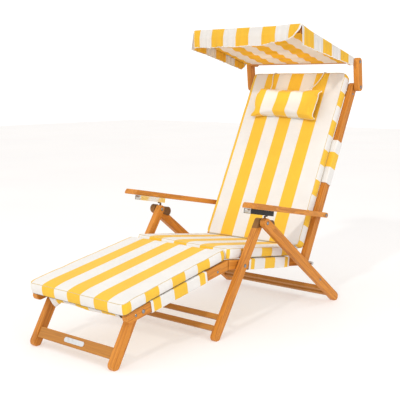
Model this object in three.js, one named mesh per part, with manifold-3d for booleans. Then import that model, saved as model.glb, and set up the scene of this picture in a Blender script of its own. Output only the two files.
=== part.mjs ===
// A folding wooden lounger with a hinged footrest, padded cushions and a tilting canopy.
// Millimetres, +Z up, X across the seat, the footrest towards -Y and the back towards +Y.
// Every assembly is a group whose local Y runs along its timber and whose local X is a hinge axis.
import * as THREE from 'three';
import { mergeVertices } from 'three/addons/utils/BufferGeometryUtils.js';
import Module from 'manifold-3d';

const wasm = await Module();
wasm.setup();

const RIGHT_ANGLE = Math.PI / 2;
const radians = THREE.MathUtils.degToRad;
const arcStep = radians(18);

// Timber sections
const timberThickness = 26;
const railWidth = 38;
const frontLegWidth = 34;
const canopyRailWidth = 30;
const linkWidth = 36;
const timberBevel = 2;
const slatWidth = 20;
const slatDepth = 16;
const dowelRadius = 12.3;
const canopyBarDepth = 18;

// Places across the seat
const clearHalfWidth = 224;
const layerGap = 4;
const seatClearance = 0.3;

// Stance of the legs
const legPivotHeight = 419;
const frontFootReach = 271;
const rearFootReach = 533;
const footFlatDepth = 2;
const footrestLegLength = 201;

// Seat, back, arms and footrest
const seatBoltFromFoot = 297.47;
const seatOverhang = 63;
const seatLength = 437;
const backLean = 27;
const backLength = 833;
const armPivotDistance = 219;
const armHeightOverPivot = 60.3;
const footrestPitch = 9.7;
const footrestLength = 534;
const footrestEndGap = 0.5;
const footrestLegPivotDistance = 474;

// Canopy and its links
const linkLength = 113;
const linkLean = 6;
const canopyPitch = 15.5;
const canopyLength = 462;
const canopyHalfWidth = 287;
const canopyRearInset = 24;
const canopyFrontDrop = 77;
const canopyRearDrop = 38;
const coverThickness = 2.5;
const coverSag = 3;
const coverWave = 2.5;
const coverWaves = 7;
const cornerSlit = 5;
const cornerRound = 58;
const coverRearLeanShare = 0.45;

// Fasteners
const boltRadius = 4;
const boltHeadRadius = 7.5;
const boltHeadHeight = 3.2;
const boreClearance = 0.35;
const axleRadius = 6.5;
const axleOverhang = 5;
const washerRadius = 9;
const wingReach = 17;
const wingThickness = 3;
const wingWidth = 11;
const wingHubRadius = 6.5;
const wingHubLength = 10;

// Armrests and their ratchet channels
const armThickness = 22;
const armWidth = 68;
const armRearWidth = 32;
const armSideGap = 3;
const armNose = 16;
const armNoseRadius = 12;
const armRearReach = 15;
const channelWidth = 34;
const channelDepth = 20;
const channelWall = 2;
const channelOffset = 25;
const channelLength = 156;
const channelInset = 30;
const channelAhead = 120.5;
const toothCount = 7;
const toothDepth = 3.5;

// Latch hooks
const hookPlate = 2.4;
const hookDiscRadius = 15;
const hookLobeRadius = 20;
const hookLobeReach = 66;
const hookLobeDrop = 19;
const hookPinReach = 19;
const hookPinHeight = 32.5;
const hookPinRadius = 3;
const hookPinLength = 25;
const hookPostWidth = 10;
const hookStepHeight = 22;
const hookRootShare = 0.8;

// Cushions, slings and pillow
const slingThickness = 2.2;
const footrestSlingSpan = [-436, -130];
const frontLoopSide = 188;
const frontLoopSlack = 5;
const frontLoopLap = 12;
const seatSlingSpan = [70, 345];
const backSlingSpan = [360, 563];
const cushionHalfWidth = 246;
const cushionThickness = 40;
const backCushionThickness = 46;
const cushionCrown = 7;
const cushionGap = 8;
const footrestCushionOverhang = 33;
const cushionCornerRadius = 26;
const backCushionStart = 56;
const backCushionEnd = 870;
const pillowHalfWidth = 168;
const pillowHeight = 146;
const pillowThickness = 54;
const pillowDrop = 242;
const pillowStart = backCushionEnd - pillowDrop;
const cordRadius = 1.6;
const cordPillowSide = 108;
const cordTopSide = 146;
const cordSlack = 24;

// Bars
const frontBarPlaces = [413, 459];
const rearBarPlaces = [577, 623];
const barDepthOffset = -8;
const topBarDistance = 799;
const crossbarDistance = 166;
const crossbarWidth = 40;
const crossbarOffset = -6;
const plateHalfLength = 52;
const plateHalfHeight = 9;
const plateThickness = 1.2;

// Hinge straps between seat and footrest
const strapThickness = 3;
const strapWidth = 16;
const strapReach = 74;
const strapSeatShare = 0.55;
const strapPinInset = 2;
const strapPinRadius = 4;

// Layers of timber, counted outwards from the seat rails
const seatLayer = clearHalfWidth + timberThickness / 2;
const legLayer = seatLayer + timberThickness + layerGap;
const outerLayer = legLayer + timberThickness + layerGap;
const footLegLayer = seatLayer - timberThickness - layerGap;
const legInnerFace = legLayer - timberThickness / 2;
const outerFace = outerLayer + timberThickness / 2;

const teak = { color: 0xc98745, roughness: 0.55, metalness: 0 };
const darkTeak = { color: 0xa9662c, roughness: 0.6, metalness: 0 };
const cloth = { color: 0xf6c445, roughness: 0.9, metalness: 0 };
const paleCloth = { color: 0xf5f1ea, roughness: 0.9, metalness: 0 };
const steel = { color: 0xb9bcc0, roughness: 0.3, metalness: 1 };

const model = new THREE.Group();

// A named piece with a material of its own, added to an assembly
function piece(assembly, name, geometry, look) {
  geometry.deleteAttribute('normal');
  geometry.deleteAttribute('uv');
  const closed = mergeVertices(geometry, 1e-4);
  closed.computeVertexNormals();
  const mesh = new THREE.Mesh(closed, new THREE.MeshStandardMaterial(look));
  mesh.name = name;
  assembly.add(mesh);
}

// An assembly whose origin is a pivot [y, z], turned about X by an angle in radians
function assemblyAt([y, z], angle) {
  const group = new THREE.Group();
  group.position.set(0, y, z);
  group.rotation.x = angle;
  model.add(group);
  return group;
}

// The place [y, z] of a point (u, v) of an assembly
function placeIn([y, z], angle, u, v) {
  return [
    y + u * Math.cos(angle) - v * Math.sin(angle),
    z + u * Math.sin(angle) + v * Math.cos(angle),
  ];
}

function solidOf(geometry) {
  geometry.deleteAttribute('normal');
  geometry.deleteAttribute('uv');
  const merged = mergeVertices(geometry, 1e-4);
  const vertProperties = new Float32Array(merged.attributes.position.array);
  const triVerts = new Uint32Array(merged.index.array);
  return new wasm.Manifold(new wasm.Mesh({ numProp: 3, vertProperties, triVerts }));
}

function geometryOf(solid) {
  const { vertProperties, triVerts } = solid.getMesh();
  const geometry = new THREE.BufferGeometry();
  geometry.setAttribute('position', new THREE.BufferAttribute(vertProperties, 3));
  geometry.setIndex(new THREE.BufferAttribute(triVerts, 1));
  return geometry;
}

function joined(...geometries) {
  return geometryOf(geometries.map(solidOf).reduce((whole, next) => whole.add(next)));
}

function cut(geometry, ...tools) {
  return geometryOf(tools.map(solidOf).reduce((whole, tool) => whole.subtract(tool), solidOf(geometry)));
}

function shared(first, second) {
  return geometryOf(solidOf(first).intersect(solidOf(second)));
}

// A side outline in (u, v), given a thickness across X about a middle x
function acrossX(shape, middle, thickness, bevel = 0, curveSegments = 8) {
  const geometry = new THREE.ExtrudeGeometry(shape, {
    depth: thickness - 2 * bevel,
    bevelEnabled: bevel > 0,
    bevelThickness: bevel,
    bevelSize: bevel,
    bevelOffset: -bevel,
    bevelSegments: 1,
    curveSegments,
  });
  geometry.translate(0, 0, middle - thickness / 2 + bevel);
  const axes = new THREE.Matrix4().makeBasis(
    new THREE.Vector3(0, 1, 0),
    new THREE.Vector3(0, 0, 1),
    new THREE.Vector3(1, 0, 0),
  );
  return geometry.applyMatrix4(axes);
}

// A cross-section in (x, v), run along the assembly from one u to another
function alongU(shape, from, to) {
  const geometry = new THREE.ExtrudeGeometry(shape, { depth: to - from, bevelEnabled: false, curveSegments: 6 });
  return geometry.rotateX(RIGHT_ANGLE).translate(0, to, 0);
}

function rectangle(x0, y0, x1, y1) {
  return new THREE.Shape([
    new THREE.Vector2(x0, y0),
    new THREE.Vector2(x1, y0),
    new THREE.Vector2(x1, y1),
    new THREE.Vector2(x0, y1),
  ]);
}

function block(x0, x1, u0, u1, v0, v1) {
  return new THREE.BoxGeometry(x1 - x0, u1 - u0, v1 - v0).translate((x0 + x1) / 2, (u0 + u1) / 2, (v0 + v1) / 2);
}

// A turned piece about an X axis: profile points are [radius, x]
function turned(profile, u = 0, v = 0, sides = 14) {
  const points = profile.map(([radius, x]) => new THREE.Vector2(radius, x));
  return new THREE.LatheGeometry(points, sides).rotateZ(-RIGHT_ANGLE).translate(0, u, v);
}

function rod(radius, x0, x1, u = 0, v = 0, sides = 14) {
  return turned([[0, x0], [radius, x0], [radius, x1], [0, x1]], u, v, sides);
}

// Points [u, v] round an arc, both ends included
function arc(u, v, radius, start, end) {
  const steps = Math.max(1, Math.round(Math.abs(end - start) / arcStep));
  return Array.from({ length: steps + 1 }, (_, i) => {
    const angle = start + ((end - start) * i) / steps;
    return new THREE.Vector2(u + radius * Math.cos(angle), v + radius * Math.sin(angle));
  });
}

function circle(u, v, radius) {
  return arc(u, v, radius, 0, 4 * RIGHT_ANGLE).slice(0, -1);
}

// A bar of timber from one u to another. A round end is centred on its u, a square one ends there.
// downAngle is the direction of the floor in the bar's frame, where its round far end stands.
function barShape({ from, to, width, fromRound = true, toRound = true, slant = 0, bores = [], downAngle }) {
  const half = width / 2;
  const square = (u) => [new THREE.Vector2(u - half * slant, -half), new THREE.Vector2(u + half * slant, half)];
  const start = fromRound ? arc(from, 0, half, RIGHT_ANGLE, 3 * RIGHT_ANGLE) : square(from).reverse();
  let end = toRound ? arc(to, 0, half, -RIGHT_ANGLE, RIGHT_ANGLE) : square(to);
  if (downAngle !== undefined) {
    const flat = Math.acos((half - footFlatDepth) / half);
    end = [
      ...arc(to, 0, half, -RIGHT_ANGLE, downAngle - flat),
      ...arc(to, 0, half, downAngle + flat, RIGHT_ANGLE),
    ];
  }
  const shape = new THREE.Shape([...start, ...end]);
  shape.holes = bores.map(([u, radius]) => new THREE.Path(circle(u, 0, radius + boreClearance).reverse()));
  return shape;
}

// A button-headed bolt across X, from one timber face to the other
function bolt(x0, x1, u = 0, v = 0) {
  const low = x0 - seatClearance;
  const high = x1 + seatClearance;
  const crownRadius = boltHeadRadius / 2;
  return turned([
    [0, low - boltHeadHeight],
    [crownRadius, low - boltHeadHeight],
    [boltHeadRadius, low - boltHeadHeight / 3],
    [boltHeadRadius, low],
    [boltRadius, low],
    [boltRadius, high],
    [boltHeadRadius, high],
    [boltHeadRadius, high + boltHeadHeight / 3],
    [crownRadius, high + boltHeadHeight],
    [0, high + boltHeadHeight],
  ], u, v, 12);
}

// The two sides of the chair: +X is the sitter's left
const sides = [['left', 1], ['right', -1]];

function mirrored(geometry, side) {
  if (side > 0) {
    return geometry;
  }
  const flipped = geometry.index ? geometry.toNonIndexed() : geometry;
  flipped.scale(-1, 1, 1);
  const position = flipped.attributes.position;
  const corner = new THREE.Vector3();
  for (let i = 0; i < position.count; i += 3) {
    corner.fromBufferAttribute(position, i);
    const [x, y, z] = [position.getX(i + 2), position.getY(i + 2), position.getZ(i + 2)];
    position.setXYZ(i, x, y, z);
    position.setXYZ(i + 2, corner.x, corner.y, corner.z);
  }
  return flipped;
}

// Legs: where they stand and how they lean
const legPivot = [0, legPivotHeight];
const frontFootHeight = frontLegWidth / 2 - footFlatDepth;
const frontLegDrop = legPivotHeight - frontFootHeight;
const frontLegAngle = Math.atan2(-frontLegDrop, -frontFootReach);
const frontLegLength = Math.hypot(frontFootReach, frontLegDrop);
const seatBoltDistance = frontLegLength - seatBoltFromFoot;
const rearFootHeight = railWidth / 2 - footFlatDepth;
const rearLegDrop = legPivotHeight - rearFootHeight;
const rearLegAngle = Math.atan2(-rearLegDrop, rearFootReach);
const rearLegLength = Math.hypot(rearFootReach, rearLegDrop);

// The seat turns about its bolts until the axle at its rear lies on the rear legs
const seatBolt = placeIn(legPivot, frontLegAngle, seatBoltDistance, 0);
const rearLegNormal = rearLegAngle + RIGHT_ANGLE;
const boltOverLeg =
  (seatBolt[0] - legPivot[0]) * Math.cos(rearLegNormal) + (seatBolt[1] - legPivot[1]) * Math.sin(rearLegNormal);
const axleOverLeg = railWidth / 2 + axleRadius + seatClearance;
const seatAngle = rearLegNormal - Math.acos((axleOverLeg - boltOverLeg) / seatLength);
const axlePlace = placeIn(seatBolt, seatAngle, seatLength, 0);

// The back, and the armrests that pass over the leg pivots
const backAngle = radians(90 - backLean);
const armPivot = placeIn(axlePlace, backAngle, armPivotDistance, 0);
const armRun = Math.hypot(armPivot[0] - legPivot[0], armPivot[1] - legPivot[1]);
const armAngle =
  Math.atan2(armPivot[1] - legPivot[1], armPivot[0] - legPivot[0]) - Math.asin(armHeightOverPivot / armRun);
const channelFrontReach = Math.sqrt(armRun ** 2 - armHeightOverPivot ** 2) + channelAhead;
const armFrontReach = channelFrontReach + channelInset;

// The footrest hangs on straps at the seat's front end
const strapDrop = railWidth / 2 - strapPinInset;
const footrestPivot = placeIn(seatBolt, seatAngle, -seatOverhang, -strapDrop);
const footrestAngle = radians(footrestPitch);
const footrestLegPivot = placeIn(footrestPivot, footrestAngle, -footrestLegPivotDistance, strapDrop);
const footrestLegDrop = footrestLegPivot[1] - rearFootHeight;
const footrestLegAngle = -RIGHT_ANGLE - Math.acos(footrestLegDrop / footrestLegLength);

// The footrest's legs lean on the dowel between its rails
const dowelToLeg = railWidth / 2 + dowelRadius + seatClearance;
const footrestBarDistance =
  footrestLegPivotDistance + dowelToLeg / Math.sin(footrestLegAngle - footrestAngle + 2 * RIGHT_ANGLE);

// The canopy's links and the canopy
const linkPivot = placeIn(axlePlace, backAngle, backLength, 0);
const linkAngle = radians(90 + linkLean);
const canopyPivot = placeIn(linkPivot, linkAngle, linkLength, 0);
const canopyAngle = -radians(canopyPitch);

// A pair of slats between two legs
function slats(assembly, names, places, reach) {
  names.forEach((name, i) => {
    const middle = places[i];
    const outline = rectangle(
      middle - slatWidth / 2,
      barDepthOffset - slatDepth / 2,
      middle + slatWidth / 2,
      barDepthOffset + slatDepth / 2,
    );
    piece(assembly, name, acrossX(outline, 0, 2 * (reach - seatClearance), timberBevel), darkTeak);
  });
}

function frontLegs() {
  const frame = assemblyAt(legPivot, frontLegAngle);
  const leg = barShape({
    from: 0,
    to: frontLegLength,
    width: frontLegWidth,
    bores: [[0, boltRadius], [seatBoltDistance, boltRadius]],
    downAngle: -RIGHT_ANGLE - frontLegAngle,
  });
  for (const [side, sign] of sides) {
    piece(frame, `front_leg_${side}`, acrossX(leg, sign * legLayer, timberThickness, timberBevel), teak);
    piece(frame, `pivot_bolt_${side}`, mirrored(bolt(legInnerFace, outerFace), sign), steel);
    const seatBoltEnds = [seatLayer - timberThickness / 2, legLayer + timberThickness / 2];
    piece(frame, `seat_bolt_${side}`, mirrored(bolt(...seatBoltEnds, seatBoltDistance), sign), steel);
  }
  slats(frame, ['front_stretcher_upper', 'front_stretcher_lower'], frontBarPlaces, legInnerFace);
}

function rearLegs() {
  const frame = assemblyAt(legPivot, rearLegAngle);
  const leg = barShape({
    from: 0,
    to: rearLegLength,
    width: railWidth,
    bores: [[0, boltRadius]],
    downAngle: -RIGHT_ANGLE - rearLegAngle,
  });
  for (const [side, sign] of sides) {
    piece(frame, `rear_leg_${side}`, acrossX(leg, sign * outerLayer, timberThickness, timberBevel), teak);
  }
  const reach = outerLayer - timberThickness / 2;
  slats(frame, ['rear_stretcher_upper', 'rear_stretcher_lower'], rearBarPlaces, reach);
}

// A flat steel hook on the leg pivot: a thumb lobe behind, a step outwards over the rear leg's head,
// and a post whose cross pin runs inside the armrest's ratchet channel
function latchHooks() {
  const frame = assemblyAt(legPivot, 0);
  const plateMiddle = legLayer + timberThickness / 2 + layerGap / 2;
  const channelMiddle = legLayer + channelOffset;
  for (const [side, sign] of sides) {
    const disc = new THREE.Shape();
    disc.absarc(0, 0, hookDiscRadius, 0, 4 * RIGHT_ANGLE, false);
    const eye = new THREE.Path();
    eye.absarc(0, 0, boltRadius + boreClearance, 0, 4 * RIGHT_ANGLE, true);
    disc.holes.push(eye);
    const lobe = new THREE.Shape();
    lobe.absarc(hookLobeReach, -hookLobeDrop, hookLobeRadius, -RIGHT_ANGLE, RIGHT_ANGLE, false);
    lobe.lineTo(hookDiscRadius / 2, hookDiscRadius * hookRootShare);
    lobe.lineTo(hookDiscRadius / 2, -hookDiscRadius * hookRootShare);
    const postLeft = hookPinReach - hookPostWidth / 2;
    const postRight = hookPinReach + hookPostWidth / 2;
    const tongue = rectangle(postLeft, 0, postRight, hookStepHeight + hookPlate);
    const stepEnd = channelMiddle + hookPlate / 2;
    const hook = joined(
      acrossX(disc, plateMiddle, hookPlate, 0, 10),
      acrossX(lobe, plateMiddle, hookPlate, 0, 10),
      acrossX(tongue, plateMiddle, hookPlate),
      block(plateMiddle - hookPlate / 2, stepEnd, postLeft, postRight, hookStepHeight, hookStepHeight + hookPlate),
      block(stepEnd - hookPlate, stepEnd, postLeft, postRight, hookStepHeight, hookPinHeight),
      rod(
        hookPinRadius,
        channelMiddle - hookPinLength / 2,
        channelMiddle + hookPinLength / 2,
        hookPinReach,
        hookPinHeight,
        10,
      ),
    );
    const open = cut(hook, rod(boltRadius + boreClearance, legInnerFace, outerFace));
    piece(frame, `latch_hook_${side}`, mirrored(open, sign), steel);
  }
}

// A cloth band stretched between two rails, with a sleeve round each
function slingGeometry(layer, span) {
  const inner = railWidth / 2 + seatClearance;
  const outer = inner + slingThickness;
  const sleeveIn = layer - timberThickness / 2 - seatClearance;
  const sleeveOut = layer + timberThickness / 2 + seatClearance;
  const outline = new THREE.Shape();
  outline.moveTo(-sleeveOut - slingThickness, -outer);
  outline.lineTo(-sleeveIn + slingThickness, -outer);
  outline.lineTo(-sleeveIn + slingThickness, inner);
  outline.lineTo(sleeveIn - slingThickness, inner);
  outline.lineTo(sleeveIn - slingThickness, -outer);
  outline.lineTo(sleeveOut + slingThickness, -outer);
  outline.lineTo(sleeveOut + slingThickness, outer);
  outline.lineTo(-sleeveOut - slingThickness, outer);
  for (const sign of [1, -1]) {
    const ends = [sign * sleeveIn, sign * sleeveOut].sort((a, b) => a - b);
    outline.holes.push(rectangle(ends[0], -inner, ends[1], inner));
  }
  return alongU(outline, span[0], span[1]);
}

// The front end of the footrest's cloth: a tongue under the cushion that loops round the dowel, slack below
function frontLoopGeometry() {
  const outer = railWidth / 2 + seatClearance + slingThickness;
  const ring = dowelRadius + seatClearance + slingThickness;
  const centre = -footrestBarDistance;
  const start = footrestSlingSpan[0];
  const steps = 24;
  const loopAt = (radius, slack) =>
    Array.from({ length: steps + 1 }, (_, i) => {
      const turn = RIGHT_ANGLE + (4 * RIGHT_ANGLE * i) / steps;
      const sag = slack * Math.max(0, -Math.sin(turn));
      return new THREE.Vector2(centre + radius * Math.cos(turn), radius * Math.sin(turn) - sag);
    });
  const around = loopAt(ring, frontLoopSlack);
  const shape = new THREE.Shape([
    new THREE.Vector2(start + frontLoopLap, outer),
    ...around.slice(0, -1),
    new THREE.Vector2(centre + ring * Math.cos(arcStep * 2), ring * Math.sin(arcStep * 2)),
    new THREE.Vector2(start + frontLoopLap, outer - slingThickness),
  ]);
  shape.holes.push(new THREE.Path(loopAt(ring - slingThickness, frontLoopSlack).slice(0, -1).reverse()));
  return acrossX(shape, 0, 2 * frontLoopSide);
}

// A closed body built from rings of the same outline, from its lowest middle to its highest middle
function ringed(rings, low, high) {
  const count = rings[0].length;
  const vertices = [...rings.flat(), low, high];
  const faces = [];
  for (let r = 0; r < rings.length - 1; r += 1) {
    for (let i = 0; i < count; i += 1) {
      const j = (i + 1) % count;
      const [a, b] = [r * count + i, r * count + j];
      const [c, d] = [a + count, b + count];
      faces.push(a, b, d, a, d, c);
    }
  }
  const lowIndex = rings.length * count;
  const last = (rings.length - 1) * count;
  for (let i = 0; i < count; i += 1) {
    const j = (i + 1) % count;
    faces.push(lowIndex, j, i);
    faces.push(lowIndex + 1, last + i, last + j);
  }
  const geometry = new THREE.BufferGeometry();
  geometry.setAttribute('position', new THREE.Float32BufferAttribute(vertices.flat(), 3));
  geometry.setIndex(faces);
  return geometry;
}

// The outline of a cushion: a rectangle with rounded corners, drawn in by an inset
function cushionOutline(halfX, halfU, radius, inset) {
  const outline = new THREE.Shape();
  const [x, u] = [halfX - radius, halfU - radius];
  const drawn = radius - inset;
  const corners = [[x, -u, -1], [x, u, 0], [-x, u, 1], [-x, -u, 2]];
  for (const [cx, cu, turn] of corners) {
    outline.absarc(cx, cu, drawn, turn * RIGHT_ANGLE, (turn + 1) * RIGHT_ANGLE, false);
  }
  return outline.getSpacedPoints(44).slice(0, -1);
}

// A boxed cushion: flat below, with rolled seams, sides drawn in between them and a crown on top.
// Each share gives [height up the side, share of the draw-in] from the lower seam to the upper one.
const cushionSideShares = [[0, 0.7], [0.1, 0], [0.22, 0.5], [0.5, 0.75], [0.78, 0.5], [0.9, 0], [1, 0.7]];
const cushionTopShares = [0.94, 0.8, 0.55, 0.28];
const cushionDrawIn = 7;
const cushionFootShares = [0.7, 0.6];

function cushionGeometry(halfX, from, to, base, thickness, crown) {
  const middle = (from + to) / 2;
  const halfU = (to - from) / 2;
  const topEdge = base + thickness;
  const ring = (inset, share, height) =>
    cushionOutline(halfX, halfU, cushionCornerRadius, inset).map((p) => [p.x * share, middle + p.y * share, height]);
  const [footDrawIn, footSize] = cushionFootShares;
  const rings = [ring(cushionDrawIn * footDrawIn, footSize, base)];
  for (const [up, drawn] of cushionSideShares) {
    rings.push(ring(cushionDrawIn * drawn, 1, base + thickness * up));
  }
  for (const share of cushionTopShares) {
    rings.push(ring(cushionDrawIn, share, topEdge + crown * (1 - share ** 3)));
  }
  return ringed(rings, [0, middle, base], [0, middle, topEdge + crown]);
}

function seatFrame() {
  const frame = assemblyAt(seatBolt, seatAngle);
  const rail = barShape({
    from: -seatOverhang + footrestEndGap,
    to: seatLength,
    width: railWidth,
    fromRound: false,
    slant: Math.tan(seatAngle),
    bores: [[0, boltRadius], [seatLength, axleRadius]],
  });
  for (const [side, sign] of sides) {
    piece(frame, `seat_rail_${side}`, acrossX(rail, sign * seatLayer, timberThickness, timberBevel), teak);
  }
  piece(frame, 'seat_sling', slingGeometry(seatLayer, seatSlingSpan), cloth);
  const base = railWidth / 2 + slingThickness + 2 * seatClearance;
  const cushion = cushionGeometry(
    cushionHalfWidth,
    -seatOverhang + cushionGap / 2,
    seatLength - cushionGap,
    base,
    cushionThickness,
    cushionCrown,
  );
  piece(frame, 'seat_cushion', cushion, cloth);
  strapPair(frame, 'seat_strap', 1);
}

// Flat straps on the rails' inner faces, lapped and pinned at the footrest's hinge
function strapPair(frame, name, direction) {
  const face = clearHalfWidth - seatClearance;
  const seatSide = direction > 0;
  const level = seatSide ? -strapDrop : 0;
  const start = seatSide ? -seatOverhang : 0;
  const reach = seatSide ? strapReach * strapSeatShare : strapReach;
  const half = strapWidth / 2;
  const outline = new THREE.Shape();
  outline.absarc(start, level, half, direction * RIGHT_ANGLE, -direction * RIGHT_ANGLE, false);
  outline.absarc(start + direction * reach, level + half, half, -direction * RIGHT_ANGLE, direction * RIGHT_ANGLE, false);
  for (const [side, sign] of sides) {
    let strap;
    if (seatSide) {
      const pinEnd = face - 2 * strapThickness - 2 * seatClearance;
      const pin = turned([
        [0, pinEnd - boltHeadHeight],
        [boltHeadRadius, pinEnd - boltHeadHeight],
        [boltHeadRadius, pinEnd],
        [strapPinRadius, pinEnd],
        [strapPinRadius, face - strapThickness / 2],
        [0, face - strapThickness / 2],
      ], start, level, 12);
      strap = joined(acrossX(outline, face - strapThickness / 2, strapThickness, 0, 6), pin);
    } else {
      const whole = 2 * strapThickness + seatClearance;
      const body = acrossX(outline, face - whole / 2, whole, 0, 6);
      const keep = strapWidth;
      const lapCut = block(face - strapThickness - seatClearance, face + strapThickness, -keep, 2 * keep, -keep, keep);
      strap = cut(body, lapCut, rod(strapPinRadius + boreClearance, 0, clearHalfWidth));
    }
    piece(frame, `${name}_${side}`, mirrored(strap, sign), steel);
  }
}

function axle() {
  const frame = assemblyAt(axlePlace, 0);
  const end = outerFace + axleOverhang;
  const tip = axleRadius / 3;
  const profile = [[0, -end], [axleRadius - tip, -end], [axleRadius, tip - end]];
  const other = [[axleRadius, end - tip], [axleRadius - tip, end], [0, end]];
  piece(frame, 'back_axle', turned([...profile, ...other], 0, 0, 16), steel);
}

function footrest() {
  const frame = assemblyAt(footrestPivot, footrestAngle);
  const rails = new THREE.Group();
  rails.position.z = strapDrop;
  frame.add(rails);
  const rail = barShape({
    from: -footrestLength,
    to: -footrestEndGap,
    width: railWidth,
    toRound: false,
    slant: Math.tan(footrestAngle),
    bores: [[-footrestLegPivotDistance, boltRadius]],
  });
  const inner = clearHalfWidth - seatClearance;
  const legInner = footLegLayer - timberThickness / 2;
  const railOuter = seatLayer + timberThickness / 2;
  for (const [side, sign] of sides) {
    piece(rails, `footrest_rail_${side}`, acrossX(rail, sign * seatLayer, timberThickness, timberBevel), teak);
    const legBolt = bolt(legInner, railOuter, -footrestLegPivotDistance);
    piece(rails, `footrest_bolt_${side}`, mirrored(legBolt, sign), steel);
  }
  piece(rails, 'footrest_front_dowel', rod(dowelRadius, -inner, inner, -footrestBarDistance, 0, 16), darkTeak);
  piece(rails, 'footrest_sling', joined(slingGeometry(seatLayer, footrestSlingSpan), frontLoopGeometry()), cloth);
  const base = railWidth / 2 + slingThickness + 2 * seatClearance;
  const cushion = cushionGeometry(
    cushionHalfWidth,
    -footrestLength - footrestCushionOverhang,
    -cushionGap,
    base,
    cushionThickness,
    cushionCrown,
  );
  piece(rails, 'footrest_cushion', cushion, cloth);
  strapPair(frame, 'footrest_strap', -1);
}

function footrestLegs() {
  const frame = assemblyAt(footrestLegPivot, footrestLegAngle);
  const leg = barShape({
    from: 0,
    to: footrestLegLength,
    width: railWidth,
    bores: [[0, boltRadius]],
    downAngle: -RIGHT_ANGLE - footrestLegAngle,
  });
  for (const [side, sign] of sides) {
    piece(frame, `footrest_leg_${side}`, acrossX(leg, sign * footLegLayer, timberThickness, timberBevel), teak);
  }
  const reach = footLegLayer - timberThickness / 2 - seatClearance;
  const front = crossbarOffset - slatDepth / 2;
  const outline = rectangle(
    crossbarDistance - crossbarWidth / 2,
    front,
    crossbarDistance + crossbarWidth / 2,
    crossbarOffset + slatDepth / 2,
  );
  piece(frame, 'footrest_crossbar', acrossX(outline, 0, 2 * reach, timberBevel), darkTeak);
  const plate = new THREE.Shape();
  const middle = plateHalfLength - plateHalfHeight;
  plate.absarc(middle, crossbarDistance, plateHalfHeight, -RIGHT_ANGLE, RIGHT_ANGLE, false);
  plate.absarc(-middle, crossbarDistance, plateHalfHeight, RIGHT_ANGLE, 3 * RIGHT_ANGLE, false);
  const label = new THREE.ExtrudeGeometry(plate, { depth: plateThickness, bevelEnabled: false, curveSegments: 8 });
  label.translate(0, 0, front - seatClearance - plateThickness);
  piece(frame, 'footrest_plate', label, steel);
}

function backFrame() {
  const frame = assemblyAt(axlePlace, backAngle);
  const rail = barShape({
    from: 0,
    to: backLength,
    width: railWidth,
    bores: [[0, axleRadius], [armPivotDistance, boltRadius], [backLength, boltRadius]],
  });
  for (const [side, sign] of sides) {
    piece(frame, `back_rail_${side}`, acrossX(rail, sign * legLayer, timberThickness, timberBevel), teak);
  }
  const inner = legInnerFace - seatClearance;
  piece(frame, 'back_top_bar', rod(dowelRadius, -inner, inner, topBarDistance, 0, 16), darkTeak);
  piece(frame, 'back_sling', slingGeometry(legLayer, backSlingSpan), cloth);
  const base = railWidth / 2 + slingThickness + 2 * seatClearance;
  const cushion = cushionGeometry(
    cushionHalfWidth,
    backCushionStart,
    backCushionEnd,
    base,
    backCushionThickness,
    cushionCrown,
  );
  piece(frame, 'back_cushion', cushion, cloth);
  const cushionMiddle = (backCushionStart + backCushionEnd) / 2;
  const crownShare = 1 - ((pillowStart + pillowHeight / 2 - cushionMiddle) / (backCushionEnd - cushionMiddle)) ** 3;
  const front = base + backCushionThickness + cushionCrown * crownShare + seatClearance;
  piece(frame, 'head_pillow', pillowGeometry(front), cloth);
  for (const [side, sign] of sides) {
    piece(frame, `pillow_cord_${side}`, cordGeometry(sign, front), paleCloth);
  }
}

// A knife-edged pillow, fullest in its middle: each share is [size of the ring, height through it]
const pillowShares = [[0.5, -0.42], [0.8, -0.28], [0.95, -0.1], [1, 0], [0.95, 0.1], [0.8, 0.28], [0.5, 0.42]];

function pillowGeometry(front) {
  const middle = pillowStart + pillowHeight / 2;
  const level = front + pillowThickness / 2;
  const outline = cushionOutline(pillowHalfWidth, pillowHeight / 2, cushionCornerRadius / 2, 0);
  const rings = pillowShares.map(([share, height]) =>
    outline.map((p) => [p.x * share, middle + p.y * share, level + height * pillowThickness]),
  );
  return ringed(rings, [0, middle, level - pillowThickness / 2], [0, middle, level + pillowThickness / 2]);
}

// A cord from the pillow's top edge, up the cushion, over its end and down to the top bar
function cordGeometry(side, front) {
  const pillowTop = pillowStart + pillowHeight + seatClearance;
  const low = side * cordPillowSide;
  const high = side * cordTopSide;
  const level = front + pillowThickness / 2;
  const cushionFront = front + cordRadius;
  const cushionEnd = backCushionEnd + 2 * cordRadius + seatClearance;
  const cushionBack = railWidth / 2 + slingThickness - cordRadius;
  const bar = topBarDistance + dowelRadius + seatClearance;
  const points = [
    [low, pillowTop, level],
    [low, pillowTop + 2 * cordRadius, level],
    [low, pillowTop + cordSlack, cushionFront + cordRadius],
    [high, backCushionEnd - cordSlack, cushionFront],
    [high, backCushionEnd, cushionFront - 2 * cordRadius],
    [high, cushionEnd, cushionFront - cordSlack / 2],
    [high, cushionEnd, cushionBack + 2 * cordRadius],
    [high, backCushionEnd - 2 * cordRadius, cushionBack - 2 * cordRadius],
    [high, bar + cordSlack, cushionBack / 2],
    [high, bar + cordRadius, 0],
  ].map((p) => new THREE.Vector3(...p));
  const path = new THREE.CatmullRomCurve3(points, false, 'centripetal');
  const section = new THREE.Shape();
  section.absarc(0, 0, cordRadius, 0, 4 * RIGHT_ANGLE, false);
  return new THREE.ExtrudeGeometry(section, { extrudePath: path, steps: 40, curveSegments: 2, bevelEnabled: false });
}

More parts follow.
